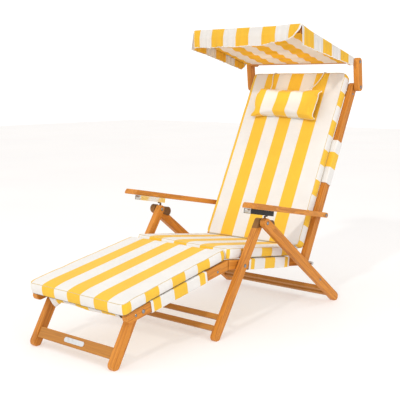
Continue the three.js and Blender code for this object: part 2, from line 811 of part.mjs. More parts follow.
function armPivotBolts() {
  const frame = assemblyAt(armPivot, armAngle);
  const armInner = legLayer + timberThickness / 2 + armSideGap;
  for (const [side, sign] of sides) {
    const pin = bolt(legInnerFace, armInner + armRearWidth);
    const collar = rod(
      washerRadius,
      legLayer + timberThickness / 2 + seatClearance,
      armInner - seatClearance,
    );
    piece(frame, `armrest_bolt_${side}`, mirrored(joined(pin, collar), sign), steel);
  }
}

// An armrest is what its plan and its side outline share: wide at the hand, narrow at the bolt
function armrestGeometry() {
  const inner = legLayer + timberThickness / 2 + armSideGap;
  const outer = inner + armWidth;
  const rearOuter = inner + armRearWidth;
  const plan = new THREE.Shape();
  plan.moveTo(inner, armRearReach);
  plan.lineTo(inner, armNoseRadius - armFrontReach);
  plan.absarc(inner + armNoseRadius, armNoseRadius - armFrontReach, armNoseRadius, -2 * RIGHT_ANGLE, -RIGHT_ANGLE, false);
  plan.absarc(outer - armNoseRadius, armNoseRadius - armFrontReach, armNoseRadius, -RIGHT_ANGLE, 0, false);
  plan.lineTo(rearOuter, -armRearReach);
  plan.lineTo(rearOuter, armRearReach);
  const half = armThickness / 2;
  const board = new THREE.ExtrudeGeometry(plan, {
    depth: armThickness - 2 * timberBevel,
    bevelThickness: timberBevel,
    bevelSize: timberBevel,
    bevelOffset: -timberBevel,
    bevelSegments: 1,
    curveSegments: 5,
  });
  board.translate(0, 0, timberBevel - half);
  const profile = new THREE.Shape();
  profile.moveTo(armNose - armFrontReach, half);
  profile.lineTo(-armFrontReach, -half);
  profile.lineTo(0, -half);
  profile.absarc(armRearReach - half, 0, half, -RIGHT_ANGLE, RIGHT_ANGLE, false);
  const width = outer - inner + 2 * armSideGap;
  const shaped = shared(board, acrossX(profile, (inner + outer) / 2, width, 0, 6));
  return cut(shaped, rod(boltRadius + boreClearance, legInnerFace, outer, 0, 0, 12));
}

// A steel channel, open below, with a rack of saw teeth hanging from its roof
function channelGeometry() {
  const middle = legLayer + channelOffset;
  const top = -armThickness / 2 - seatClearance;
  const from = -channelFrontReach;
  const half = channelWidth / 2;
  const inside = half - channelWall;
  const roof = top - channelWall;
  const section = new THREE.Shape();
  section.moveTo(middle - half, top);
  section.lineTo(middle - half, top - channelDepth);
  section.lineTo(middle - inside, top - channelDepth);
  section.lineTo(middle - inside, roof);
  section.lineTo(middle + inside, roof);
  section.lineTo(middle + inside, top - channelDepth);
  section.lineTo(middle + half, top - channelDepth);
  section.lineTo(middle + half, top);
  const walls = alongU(section, from, from + channelLength);
  const pitch = channelLength / (toothCount + 1);
  const rack = new THREE.Shape();
  const rackStart = from + pitch / 2;
  rack.moveTo(rackStart, roof + channelWall / 2);
  for (let i = 0; i < toothCount; i += 1) {
    rack.lineTo(rackStart + i * pitch, roof);
    rack.lineTo(rackStart + i * pitch, roof - toothDepth);
    rack.lineTo(rackStart + (i + 1) * pitch - pitch / 4, roof - toothDepth / 3);
  }
  rack.lineTo(rackStart + toothCount * pitch, roof);
  rack.lineTo(rackStart + toothCount * pitch, roof + channelWall / 2);
  return joined(walls, acrossX(rack, middle, 2 * inside + channelWall));
}

function armrests() {
  const frame = assemblyAt(armPivot, armAngle);
  for (const [side, sign] of sides) {
    piece(frame, `armrest_${side}`, mirrored(armrestGeometry(), sign), teak);
    piece(frame, `ratchet_channel_${side}`, mirrored(channelGeometry(), sign), steel);
  }
}

// A bolt with a round head outside and a two-winged grip inside the rails
function wingBolt() {
  const head = outerFace + seatClearance;
  const grip = legInnerFace - seatClearance;
  const wing = new THREE.Shape();
  wing.absarc(wingReach - wingWidth / 2, 0, wingWidth / 2, -RIGHT_ANGLE, RIGHT_ANGLE, false);
  wing.absarc(wingWidth / 2 - wingReach, 0, wingWidth / 2, RIGHT_ANGLE, 3 * RIGHT_ANGLE, false);
  const wingPlate = new THREE.ExtrudeGeometry(wing, { depth: wingThickness, bevelEnabled: false, curveSegments: 4 });
  wingPlate.translate(0, 0, -wingThickness / 2).rotateZ(RIGHT_ANGLE);
  wingPlate.translate(grip - wingHubLength, 0, 0);
  const stem = turned([
    [0, grip - wingHubLength],
    [wingHubRadius, grip - wingHubLength],
    [wingHubRadius, grip],
    [boltRadius, grip],
    [boltRadius, head],
    [boltHeadRadius, head],
    [boltHeadRadius, head + boltHeadHeight / 3],
    [boltHeadRadius / 2, head + boltHeadHeight],
    [0, head + boltHeadHeight],
  ], 0, 0, 12);
  return joined(stem, wingPlate);
}

function wingBolts(place, angle, name) {
  const frame = assemblyAt(place, angle);
  for (const [side, sign] of sides) {
    piece(frame, `${name}_${side}`, mirrored(wingBolt(), sign), steel);
  }
}

function canopyLinks() {
  const frame = assemblyAt(linkPivot, linkAngle);
  const link = barShape({
    from: 0,
    to: linkLength,
    width: linkWidth,
    bores: [[0, boltRadius], [linkLength, boltRadius]],
  });
  for (const [side, sign] of sides) {
    piece(frame, `canopy_link_${side}`, acrossX(link, sign * outerLayer, timberThickness, timberBevel), teak);
  }
}

// A sheet of even thickness: rows of points on its outer face, each with the point behind it
function sheetGeometry(outerRows, innerRows) {
  const rows = outerRows.length;
  const columns = outerRows[0].length;
  const size = rows * columns;
  const vertices = [...outerRows.flat(), ...innerRows.flat()];
  const faces = [];
  const quad = (a, b, c, d) => faces.push(a, b, c, a, c, d);
  for (let r = 0; r < rows - 1; r += 1) {
    for (let c = 0; c < columns - 1; c += 1) {
      const a = r * columns + c;
      quad(a, a + 1, a + columns + 1, a + columns);
      quad(size + a, size + a + columns, size + a + columns + 1, size + a + 1);
    }
  }
  for (let c = 0; c < columns - 1; c += 1) {
    const last = (rows - 1) * columns + c;
    quad(c, size + c, size + c + 1, c + 1);
    quad(last, last + 1, size + last + 1, size + last);
  }
  for (let r = 0; r < rows - 1; r += 1) {
    const a = r * columns;
    const b = a + columns - 1;
    quad(a, a + columns, size + a + columns, size + a);
    quad(b, size + b, size + b + columns, b + columns);
  }
  const geometry = new THREE.BufferGeometry();
  geometry.setAttribute('position', new THREE.Float32BufferAttribute(vertices.flat(), 3));
  geometry.setIndex(faces);
  return geometry;
}

// The cover lies over the rails, sags a little between them and hangs down the front and both sides
const railShare = (legInnerFace - layerGap) / canopyHalfWidth;
const coverTopShares = [-1, -railShare, -0.6, -0.3, 0, 0.3, 0.6, railShare, 1];
const coverDropShares = [1, 0.66, 0.33];

function coverGeometry() {
  const front = -canopyLength;
  const rear = -canopyRearInset;
  const under = canopyRailWidth / 2 + seatClearance;
  const stations = 17;
  const down = (drop) => [drop * Math.sin(radians(canopyPitch)), -drop * Math.cos(radians(canopyPitch))];
  const skin = (inset) =>
    Array.from({ length: stations }, (_, i) => {
      const share = i / (stations - 1);
      const u = front + (rear - front) * share;
      const drop = canopyFrontDrop + (canopyRearDrop - canopyFrontDrop) * share;
      const half = canopyHalfWidth - inset;
      const top = under + coverThickness - inset;
      const wave = coverWave * Math.sin(coverWaves * 2 * Math.PI * share);
      const hanging = (sign, part) => {
        const [du, dv] = down(drop * part);
        const lean = 1 - (1 - coverRearLeanShare) * share ** 6;
        return [sign * (half + wave * part), u + du * lean, under + coverThickness + dv];
      };
      const between = THREE.MathUtils.clamp((i - 2) / (stations - 5), 0, 1);
      const shoulder = coverTopShares.map((s) => {
        const sag = coverSag * Math.max(0, 1 - (s / railShare) ** 2) * Math.sin(Math.PI * between);
        return [s * half, u, top - sag];
      });
      return [
        ...coverDropShares.map((part) => hanging(-1, part)),
        ...shoulder,
        ...[...coverDropShares].reverse().map((part) => hanging(1, part)),
      ];
    });
  const over = sheetGeometry(skin(0), skin(coverThickness));
  const columns = 29;
  const rows = 7;
  const valanceHalf = canopyHalfWidth - coverThickness - cornerSlit;
  const valance = (inset) =>
    Array.from({ length: rows }, (_, r) =>
      Array.from({ length: columns }, (_, c) => {
        const part = r / (rows - 1);
        const half = valanceHalf - cornerRound * (1 - Math.sqrt(1 - part ** 2));
        const across = 1 - (2 * c) / (columns - 1);
        const [du, dv] = down(canopyFrontDrop * part);
        const wave = coverWave * part * Math.sin(coverWaves * 2 * Math.PI * across);
        const level = under + coverThickness - (r === 0 ? coverThickness / 4 : 0);
        return [across * half, front + du + inset + wave, level + dv];
      }),
    );
  const hanging = sheetGeometry(valance(0), valance(coverThickness));
  return joined(over, hanging);
}

function canopy() {
  const frame = assemblyAt(canopyPivot, canopyAngle);
  const half = canopyRailWidth / 2;
  const valanceSet = coverThickness + coverWave + seatClearance;
  const frontEnd = valanceSet - canopyLength + (half + seatClearance + coverThickness) * Math.tan(radians(canopyPitch));
  const slant = Math.tan(canopyAngle);
  const rail = barShape({
    from: frontEnd,
    to: 0,
    width: canopyRailWidth,
    fromRound: false,
    slant,
    bores: [[0, boltRadius]],
  });
  for (const [side, sign] of sides) {
    piece(frame, `canopy_rail_${side}`, acrossX(rail, sign * legLayer, timberThickness, timberBevel), teak);
  }
  const span = 2 * (legInnerFace - seatClearance);
  const rearBar = -wingReach - layerGap - canopyBarDepth;
  const frontBar = new THREE.Shape([
    new THREE.Vector2(frontEnd - half * slant, -half),
    new THREE.Vector2(frontEnd + canopyBarDepth, -half),
    new THREE.Vector2(frontEnd + canopyBarDepth, half),
    new THREE.Vector2(frontEnd + half * slant, half),
  ]);
  piece(frame, 'canopy_front_bar', acrossX(frontBar, 0, span, timberBevel), teak);
  const rearOutline = rectangle(rearBar, -half, rearBar + canopyBarDepth, half);
  piece(frame, 'canopy_rear_bar', acrossX(rearOutline, 0, span, timberBevel), teak);
  piece(frame, 'canopy_cover', coverGeometry(), cloth);
}

frontLegs();
rearLegs();
latchHooks();
seatFrame();
axle();
footrest();
footrestLegs();
backFrame();
armPivotBolts();
armrests();
canopyLinks();
wingBolts(linkPivot, linkAngle, 'lower_wing_bolt');
wingBolts(canopyPivot, canopyAngle, 'upper_wing_bolt');
canopy();

// The origin lies on the floor under the middle of the whole chair
model.updateMatrixWorld(true);
const bounds = new THREE.Box3().setFromObject(model, true);
const middle = bounds.getCenter(new THREE.Vector3());
model.position.set(-middle.x, -middle.y, -bounds.min.z);

export default model;
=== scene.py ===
from math import copysign, cos, dist, hypot, pi, radians, sin

import bmesh
import bpy
import numpy as np
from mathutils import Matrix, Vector, noise
from mathutils.bvhtree import BVHTree


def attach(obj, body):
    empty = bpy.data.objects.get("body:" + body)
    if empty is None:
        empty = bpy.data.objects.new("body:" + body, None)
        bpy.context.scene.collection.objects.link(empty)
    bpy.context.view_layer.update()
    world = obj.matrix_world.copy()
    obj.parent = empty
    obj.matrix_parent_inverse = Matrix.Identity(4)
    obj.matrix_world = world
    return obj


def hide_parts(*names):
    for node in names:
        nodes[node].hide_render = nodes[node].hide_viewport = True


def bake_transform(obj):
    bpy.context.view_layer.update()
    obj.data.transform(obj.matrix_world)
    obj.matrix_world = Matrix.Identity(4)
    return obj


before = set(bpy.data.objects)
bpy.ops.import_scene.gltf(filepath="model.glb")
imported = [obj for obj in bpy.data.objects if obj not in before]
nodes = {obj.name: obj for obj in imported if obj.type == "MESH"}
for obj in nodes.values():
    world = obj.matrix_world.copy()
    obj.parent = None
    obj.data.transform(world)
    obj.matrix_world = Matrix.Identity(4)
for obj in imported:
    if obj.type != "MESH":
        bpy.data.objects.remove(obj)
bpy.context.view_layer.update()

scene = bpy.context.scene
MM = 0.001
TURN = 2 * pi


def add_object(name, data):
    obj = bpy.data.objects.new(name, data)
    scene.collection.objects.link(obj)
    return obj


# ---- camera
AZIMUTH, ELEVATION = 40.19, 8.03

cam_data = bpy.data.cameras.new("camera")
camera = scene.camera = add_object("camera", cam_data)
camera.location = (2.1439, -2.5647, 0.9564)
camera.rotation_euler = (radians(90 - ELEVATION), 0, radians(AZIMUTH))
cam_data.sensor_width = 36
cam_data.lens = 73.44


# ---- places
class Place:
    """An assembly: x across, u along its timber, v out of it, as the frame has it."""

    def __init__(self, y, z, degrees):
        self.y, self.z, self.degrees = y * MM, z * MM, degrees
        self.c, self.s = cos(radians(degrees)), sin(radians(degrees))

    def world(self, points):
        x, u, v = np.asarray(points, float).reshape(-1, 3).T
        y = self.y + u * self.c - v * self.s
        return np.column_stack([x, y, self.z + u * self.s + v * self.c])

    def direction(self, u):
        return np.array([0.0, u * self.c, u * self.s])


STRAP_DROP = 17 * MM
RAIL_TOP = 21.8 * MM
SEAT = Place(-87.4281, 262.0386, -7.6259)
FOOT_HINGE = Place(-152.1269, 253.5494, 9.7)
foot_rise = FOOT_HINGE.world([[0, 0, STRAP_DROP]])[0]
FOOTREST = Place(foot_rise[1] / MM, foot_rise[2] / MM, FOOT_HINGE.degrees)
REAR_LEG = Place(17.8603, 419.0, -37.0244)
BACK = Place(345.7069, 204.0466, 63)
ARM = Place(445.1308, 399.1770, -10.7607)
CANOPY = Place(712.0692, 1058.6360, -15.5)


# ---- shader nodes
def shader(name):
    m = bpy.data.materials.new(name)
    m.use_nodes = True
    m.node_tree.nodes.clear()
    return m, m.node_tree


def feed(t, socket, value):
    """A socket takes another node's output, or a constant."""
    if isinstance(value, bpy.types.NodeSocket):
        t.links.new(value, socket)
    else:
        socket.default_value = value


def node(t, kind, inputs=None, **settings):
    n = t.nodes.new("ShaderNode" + kind)
    for k, v in settings.items():
        setattr(n, k, v)
    for k, v in (inputs or {}).items():
        feed(t, n.inputs[k], v)
    return n


def math_node(t, operation, *values):
    return node(t, "Math", dict(enumerate(values)), operation=operation).outputs[0]


def mix(t, factor, a, b, blend="MIX"):
    inputs = {0: factor, 6: a, 7: b}
    return node(t, "Mix", inputs, data_type="RGBA", blend_type=blend).outputs[2]


def ramp(t, factor, stops):
    n = node(t, "ValToRGB", {"Fac": factor})
    e = n.color_ramp.elements
    e[0].position, e[0].color = stops[0]
    e[1].position, e[1].color = stops[-1]
    for p, c in stops[1:-1]:
        e.new(p).color = c
    return n.outputs[0]


def speckle(t, place, scale, detail, **more):
    inputs = {"Vector": place, "Scale": scale, "Detail": detail, **more}
    return node(t, "TexNoise", inputs).outputs[0]


def stretched(t, place, scale):
    return node(t, "Mapping", {"Vector": place, "Scale": scale}).outputs[0]


def remap(t, value, start, end, low=0.0, high=1.0, curve="LINEAR"):
    inputs = {"Value": value, "From Min": start, "From Max": end, "To Min": low, "To Max": high}
    return node(t, "MapRange", inputs, interpolation_type=curve).outputs[0]


def dimmed(t, color, level):
    grey = node(t, "CombineColor", {0: level, 1: level, 2: level}).outputs[0]
    return mix(t, 1.0, color, grey, "MULTIPLY")


def relief(t, height, strength, distance=0.0004):
    inputs = {"Height": height, "Strength": strength, "Distance": distance}
    return node(t, "Bump", inputs).outputs[0]


def surfaced(m, surface):
    feed(m.node_tree, node(m.node_tree, "OutputMaterial").inputs[0], surface)
    return m


def principled(m, color, rough, inputs):
    """Ends a material in a Principled surface."""
    sockets = {"Base Color": color, "Roughness": rough, **inputs}
    return surfaced(m, node(m.node_tree, "BsdfPrincipled", sockets).outputs[0])


# ---- cloth and thread
STRIPE = 0.068
YELLOW = (0.86, 0.550, 0.055, 1)
YELLOW_DEEP = (0.80, 0.455, 0.028, 1)
# warmer, brighter tones: painted light, the sun's glow through the canopy
YELLOW_PAINTED_GLOW = (1.0, 0.58, 0.010, 1)
YELLOW_THROUGH = (1.0, 0.52, 0.004, 1)
WHITE = (0.800, 0.780, 0.754, 1)
WHITE_SOFT = (0.745, 0.720, 0.689, 1)
WHITE_PAINTED_GLOW = (0.98, 0.89, 0.79, 1)
WHITE_THROUGH = (0.95, 0.86, 0.76, 1)


def striped_cloth(name, glow=0.0, painted_glow=0.0):
    """Woven canvas with yellow stripes of 68 mm, laid out by the cloth map in metres."""
    wander, blur, thread = 0.0012, 0.0004, TURN / 0.0011
    m, t = shader(name)
    uv = node(t, "UVMap", uv_map="cloth").outputs[0]
    xyz = node(t, "SeparateXYZ", {0: uv})
    u, v = xyz.outputs[0], xyz.outputs[1]
    edge = math_node(t, "MULTIPLY_ADD", speckle(t, uv, 340.0, 2.0), wander, -wander / 2)
    wrapped = math_node(t, "WRAP", math_node(t, "ADD", u, edge), STRIPE, -STRIPE)
    off_centre = math_node(t, "ABSOLUTE", wrapped)
    inside = remap(t, off_centre, STRIPE / 2 + blur, STRIPE / 2 - blur, curve="SMOOTHSTEP")
    # slubs run along the warp and across it
    slub = speckle(t, stretched(t, uv, (1.0, 0.035, 1.0)), 620.0, 3.0, Roughness=0.6)
    slub_across = speckle(t, stretched(t, uv, (0.05, 1.0, 1.0)), 560.0, 3.0, Roughness=0.6)
    yellow = mix(t, slub, YELLOW_DEEP, YELLOW)
    white = mix(t, slub_across, WHITE_SOFT, WHITE)
    # painted light: the tones are moved warmer and brighter for the glow through the canopy
    if painted_glow:
        yellow = mix(t, painted_glow, yellow, YELLOW_PAINTED_GLOW)
        white = mix(t, painted_glow, white, WHITE_PAINTED_GLOW)
    worn = remap(t, speckle(t, uv, 9.0, 3.0), 0.35, 0.7, 0.965, 1.02)
    color = dimmed(t, mix(t, inside, white, yellow), worn)
    over = math_node(t, "SINE", math_node(t, "MULTIPLY", u, thread))
    under = math_node(t, "SINE", math_node(t, "MULTIPLY", v, thread))
    weave = math_node(t, "MULTIPLY", math_node(t, "MULTIPLY", over, under), 0.35)
    bump = relief(t, math_node(t, "ADD", weave, math_node(t, "ADD", slub, slub_across)), 0.22)
    surface = node(t, "BsdfPrincipled", {
        "Base Color": color, "Roughness": remap(t, slub_across, 0.0, 1.0, 0.78, 0.92),
        "Normal": bump, "Sheen Weight": 0.12, "Sheen Roughness": 0.5, "Specular IOR Level": 0.25,
    }).outputs[0]
    if glow:
        seen_through = mix(t, inside, WHITE_THROUGH, YELLOW_THROUGH)
        back_light = node(t, "BsdfTranslucent", {"Color": seen_through, "Normal": bump}).outputs[0]
        surface = node(t, "MixShader", {0: glow, 1: surface, 2: back_light}).outputs[0]
    return surfaced(m, surface)


def thread_look(name, light, deep):
    """Twisted thread: a slanting lay in two tones."""
    m, t = shader(name)
    place = node(t, "TexCoord").outputs["Object"]
    wave = {"Vector": place, "Scale": 900.0, "Distortion": 0.8, "Detail": 1.0}
    lay = node(t, "TexWave", wave, bands_direction="DIAGONAL").outputs[0]
    fuzz = speckle(t, place, 1500.0, 2.0)
    lay = math_node(t, "MULTIPLY", lay, 0.7)
    tone = math_node(t, "ADD", lay, math_node(t, "MULTIPLY", fuzz, 0.3))
    color = ramp(t, tone, [(0.15, deep), (0.8, light)])
    rough = remap(t, fuzz, 0.0, 1.0, 0.7, 0.9)
    return principled(m, color, rough, {"Normal": relief(t, tone, 0.5)})


canvas = striped_cloth("striped_canvas")
awning = striped_cloth("striped_awning", glow=0.20)
# the lining's stripes carry painted light, the glow of the sun through the canopy
lining_cloth = striped_cloth("striped_lining", glow=0.29, painted_glow=0.95)
white_cord = thread_look("white_cord", (0.90, 0.88, 0.84, 1), (0.66, 0.62, 0.56, 1))
seam_thread = thread_look("seam_thread", (0.74, 0.59, 0.32, 1), (0.52, 0.39, 0.18, 1))
# the dark thread stands for shadow: painted shadow along a cushion's lower edge
painted_shadow_thread = thread_look("painted_shadow_thread", (0.22, 0.16, 0.09, 1), (0.10, 0.07, 0.04, 1))

# ---- teak and steel
TEAK_TONES = ((0.25, (0.26, 0.066, 0.005)), (0.45, (0.46, 0.138, 0.010)),
              (0.62, (0.64, 0.215, 0.017)), (0.85, (0.78, 0.300, 0.036)))
# dark tones for the painted shade on the tops of two legs
PAINTED_SHADE_DEEP, PAINTED_SHADE_LIGHT = (0.050, 0.017, 0.004, 1), (0.17, 0.062, 0.013, 1)
RUBBED = (0.74, 0.36, 0.09, 1)


def teak(name, degrees=None, dark=0.0, shade_above=None):
    """Oiled teak: the grain runs along the timber, or across the chair where no angle is given."""
    m, t = shader(name)
    place = level = node(t, "TexCoord").outputs["Object"]
    if degrees is not None:
        turn = {"Vector": place, "Rotation": (-radians(degrees), 0, 0)}
        level = node(t, "Mapping", turn).outputs[0]

    def drawn_out(share):
        return stretched(t, level, (share, 1.0, 1.0) if degrees is None else (1.0, share, 1.0))

    turned = drawn_out(0.04)
    broad = speckle(t, turned, 38.0, 4.0, Roughness=0.55, Distortion=0.6)
    fine = speckle(t, turned, 420.0, 3.0, Roughness=0.7)
    pores = speckle(t, turned, 1300.0, 2.0)
    patch = speckle(t, drawn_out(0.12), 11.0, 2.0)
    rings = math_node(t, "FRACT", math_node(t, "MULTIPLY", broad, 6.0))
    shares = ((rings, 0.30), (fine, 0.42), (patch, 0.40))
    parts = [math_node(t, "MULTIPLY", value, share) for value, share in shares]
    tone = math_node(t, "ADD", parts[0], math_node(t, "ADD", parts[1], parts[2]))
    k = 0.91 * (1 - dark)
    color = ramp(t, tone, [(p, tuple(c * k for c in rgb) + (1,)) for p, rgb in TEAK_TONES])
    if shade_above is not None:
        # the tops of the legs are darkened as painted shade, the armrest's shadow on them
        ragged = math_node(t, "MULTIPLY", fine, 0.003)
        height = math_node(t, "ADD", node(t, "SeparateXYZ", {0: place}).outputs[2], ragged)
        shade_tone = mix(t, fine, PAINTED_SHADE_DEEP, PAINTED_SHADE_LIGHT)
        color = mix(t, remap(t, height, shade_above, shade_above + 0.0015), color, shade_tone)
    pit = remap(t, pores, 0.62, 0.72, 1.0, 0.72)
    color = dimmed(t, color, pit)
    rub = remap(t, node(t, "NewGeometry").outputs["Pointiness"], 0.515, 0.60, 0.0, 0.35)
    color = mix(t, rub, color, RUBBED)
    bump = relief(t, math_node(t, "ADD", fine, math_node(t, "MULTIPLY", pit, 0.6)), 0.25)
    rough = remap(t, fine, 0.0, 1.0, 0.40, 0.60)
    return principled(m, color, rough, {"Normal": bump, "Specular IOR Level": 0.26})


ALONG_Z, ALONG_X = (30.0, 30.0, 900.0), (900.0, 30.0, 30.0)


def scratches(t, scale):
    place = node(t, "TexCoord").outputs["Object"]
    return place, speckle(t, stretched(t, place, scale), 1.0, 3.0)


def metal(name, color, low, high, scale=ALONG_Z, dark=False):
    """Brushed or polished metal with fine scratches and a little tarnish."""
    m, t = shader(name)
    place, grain = scratches(t, scale)
    tarnish = remap(t, speckle(t, place, 90.0, 4.0), 0.45, 0.75, 0.0, 0.35)
    shade = mix(t, tarnish, color, tuple(c * 0.6 for c in color[:3]) + (1,))
    bump = relief(t, grain, 0.08, 0.0002)
    rough = remap(t, grain, 0.0, 1.0, low, high)
    return principled(m, shade, rough, {"Normal": bump, "Metallic": 0.6 if dark else 1.0})


def mirror_look():
    """Polished channel steel: clear reflections, a few fine scratches."""
    m, t = shader("channel_steel")
    scratch = scratches(t, ALONG_Z)[1]
    color = mix(t, scratch, (0.86, 0.85, 0.82, 1), (0.78, 0.77, 0.74, 1))
    return principled(m, color, remap(t, scratch, 0.0, 1.0, 0.04, 0.12), {"Metallic": 0.85})


bolt_steel = metal("bolt_steel", (0.27, 0.28, 0.30, 1), 0.16, 0.30)
brushed_steel = metal("brushed_steel", (0.50, 0.50, 0.51, 1), 0.24, 0.42)
channel_steel = mirror_look()
# near black for the channels' outer walls: painted shade under the armrests
shaded_channel_wall = metal("shaded_channel_wall", (0.020, 0.018, 0.016, 1), 0.16, 0.32, dark=True)
end_steel = metal("channel_end", (0.60, 0.57, 0.52, 1), 0.28, 0.46)
bronze_steel = metal("bronze_steel", (0.17, 0.085, 0.038, 1), 0.35, 0.5, dark=True)
plate_steel = metal("plate_steel", (0.70, 0.70, 0.71, 1), 0.26, 0.40, ALONG_X)

# ---- looks of the frame's nodes
TIMBERS = {
    "front_leg": ("front_legs", -123.8534), "rear_leg": ("rear_legs", REAR_LEG.degrees),
    "seat_rail": ("seat", SEAT.degrees), "footrest_rail": ("footrest", FOOTREST.degrees),
    "footrest_leg": ("footrest_legs", -120.3565), "back_rail": ("back", BACK.degrees),
    "armrest": ("arm", ARM.degrees), "canopy_link": ("links", 96),
    "canopy_rail": ("canopy", CANOPY.degrees),
}
# bars that lie under the seat, the footrest and the cushions, darkened as painted shade
SHADED_BARS = ("front_stretcher_upper", "front_stretcher_lower", "rear_stretcher_upper",
             "rear_stretcher_lower", "footrest_crossbar", "footrest_front_dowel", "back_top_bar")
STEELS = (("bolt", bolt_steel), ("strap", brushed_steel), ("channel", channel_steel),
          ("latch", bronze_steel))
# above these heights the tops of the legs are painted dark: painted shade from the armrests
FRONT_SHADE_LINE, REAR_SHADE_LINE = 0.4005, 0.4045

looks = {}
for stem, (label, degrees) in TIMBERS.items():
    looks[stem + "_left"] = looks[stem + "_right"] = teak("teak_" + label, degrees)
# painted shade: the armrest's shadow on the near front leg's top and the far rear leg's top
looks["front_leg_left"] = teak("teak_front_leg_shaded_top", TIMBERS["front_leg"][1], shade_above=FRONT_SHADE_LINE)
looks["rear_leg_right"] = teak("teak_rear_leg_shaded_top", REAR_LEG.degrees, shade_above=REAR_SHADE_LINE)
looks["canopy_front_bar"] = looks["canopy_rear_bar"] = teak("teak_cross", dark=0.06)
# the bars under the chair are darkened by 40 per cent: painted shade
looks.update(dict.fromkeys(SHADED_BARS, teak("teak_cross_shaded", dark=0.40)))
for name in nodes:
    for word, steel in STEELS:
        if word in name:
            looks[name] = steel
            break
looks["back_axle"] = brushed_steel
looks["footrest_plate"] = plate_steel
for name, look in looks.items():
    data = nodes[name].data
    data.materials.clear()
    data.materials.append(look)
    for polygon in data.polygons:
        polygon.material_index = 0
    if "channel" in name:
        # the outer walls are near black as painted shade, the ends and the toothed inside are
        # bright
        data.materials.append(shaded_channel_wall)
        outer = 1 if name.endswith("left") else -1
        for polygon in data.polygons:
            if polygon.normal.x * outer > 0.9:
                polygon.material_index = 1


# ---- meshes
def make_mesh(name, points, faces, loop_uvs=None):
    """loop_uvs holds, for each face, its corners' places on the cloth in metres."""
    data = bpy.data.meshes.new(name)
    data.from_pydata([tuple(p) for p in points], [], faces)
    if loop_uvs is not None:
        layer = data.uv_layers.new(name="cloth")
        flat = np.asarray([c for f in loop_uvs for c in f], np.float32)
        layer.data.foreach_set("uv", flat.ravel())
    return add_object(name, data)


def make_skin(name, points, faces, loop_uvs=None):
    """A mesh whose faces all look outwards."""
    obj = make_mesh(name, points, faces, loop_uvs)
    b = bmesh.new()
    b.from_mesh(obj.data)
    bmesh.ops.recalc_face_normals(b, faces=b.faces)
    b.to_mesh(obj.data)
    b.free()
    return obj


def settle(obj):
    """Replaces an object's mesh by what its modifiers make of it."""
    dg = bpy.context.evaluated_depsgraph_get()
    data = bpy.data.meshes.new_from_object(obj.evaluated_get(dg))
    obj.modifiers.clear()
    old = obj.data
    obj.data = data
    data.name = obj.name
    bpy.data.meshes.remove(old)


def coordinates(obj):
    co = np.empty(len(obj.data.vertices) * 3)
    obj.data.vertices.foreach_get("co", co)
    return co.reshape(-1, 3)


def place_points(obj, co):
    obj.data.vertices.foreach_set("co", np.asarray(co, np.float32).ravel())
    obj.data.update()


def coat(obj, material, flat_faces=0):
    """One material, shaded smooth but for the last few faces."""
    obj.data.materials.clear()
    obj.data.materials.append(material)
    polygons = obj.data.polygons
    for p in polygons[:len(polygons) - flat_faces]:
        p.use_smooth = True


def smooth(obj, material):
    m = obj.modifiers.new("fine", "SUBSURF")
    m.levels = m.render_levels = 1
    settle(obj)
    coat(obj, material)


def thicken(obj, thickness, offset, material):
    """Gives a sheet its thickness, outwards with offset 1 and to both sides with 0."""
    m = obj.modifiers.new("thickness", "SOLIDIFY")
    m.thickness = thickness
    m.offset = offset
    settle(obj)
    smooth(obj, material)


def one_side(obj):
    b = bmesh.new()
    b.from_mesh(obj.data)
    total = sum(f.calc_area() for f in b.faces)
    b.free()
    return total / 2


def inflate(obj, pins, pressure, cap, bending=0.6):
    """Lets a cloth skin swell under pressure; no point moves further than cap."""
    start = coordinates(obj)
    frames, still = 20, 1e-9
    group = obj.vertex_groups.new(name="pins")
    group.add([int(i) for i in pins], 1.0, "REPLACE")
    m = obj.modifiers.new("cloth", "CLOTH")
    s = m.settings
    s.quality = 4
    s.mass = 0.25
    s.tension_stiffness = s.compression_stiffness = 25
    s.shear_stiffness = 12
    s.bending_stiffness = bending
    s.vertex_group_mass = "pins"
    s.use_pressure = True
    s.uniform_pressure_force = pressure
    s.effector_weights.gravity = 0
    m.collision_settings.use_collision = False
    m.collision_settings.use_self_collision = False
    m.point_cache.frame_start, m.point_cache.frame_end = 1, frames
    for f in range(1, frames + 1):
        scene.frame_set(f)
    settle(obj)
    scene.frame_set(1)
    moved = coordinates(obj) - start
    far = np.linalg.norm(moved, axis=1)
    eased = np.where(far > still, cap * np.tanh(far / cap) / np.maximum(far, still), 1.0)
    return start + moved * eased[:, None]


def rumple(co, amount, scale, seed):
    """Small soft unevenness, the same on each run."""
    offset = Vector((seed * 7.3, seed * 3.1, seed * 1.7))
    return np.array([amount * noise.noise(Vector(p) * scale + offset) for p in co])


def kept_clear(co, other, way, gap):
    """Points that lie in another piece, or within the gap of it, are moved out along the way."""
    reach, soft = 0.040, 0.0006
    sides = [tuple(p.vertices) for p in other.data.polygons]
    hull = BVHTree.FromPolygons([v.co for v in other.data.vertices], sides)
    held = coordinates(other)
    near = np.all((co > held.min(0) - reach) & (co < held.max(0) + reach), axis=1)
    for i in np.nonzero(near)[0]:
        hit = hull.ray_cast(Vector(co[i] + way * reach), Vector(-way), 2 * reach)
        if hit[0] is not None:
            need = reach - hit[3] + gap
            co[i] += way * 0.5 * (need + hypot(need, soft))
    return co


def perimeter(nx, ny):
    """The rim of a grid of cells, once round."""
    return ([(i, 0) for i in range(nx)] + [(nx, j) for j in range(ny)]
            + [(i, ny) for i in range(nx, 0, -1)] + [(0, j) for j in range(ny, 0, -1)])


def grid_cell(i, j, cols):
    """The corners of one cell of a sheet that is laid out in rows."""
    return [i * cols + j, i * cols + j + 1, (i + 1) * cols + j + 1, (i + 1) * cols + j]


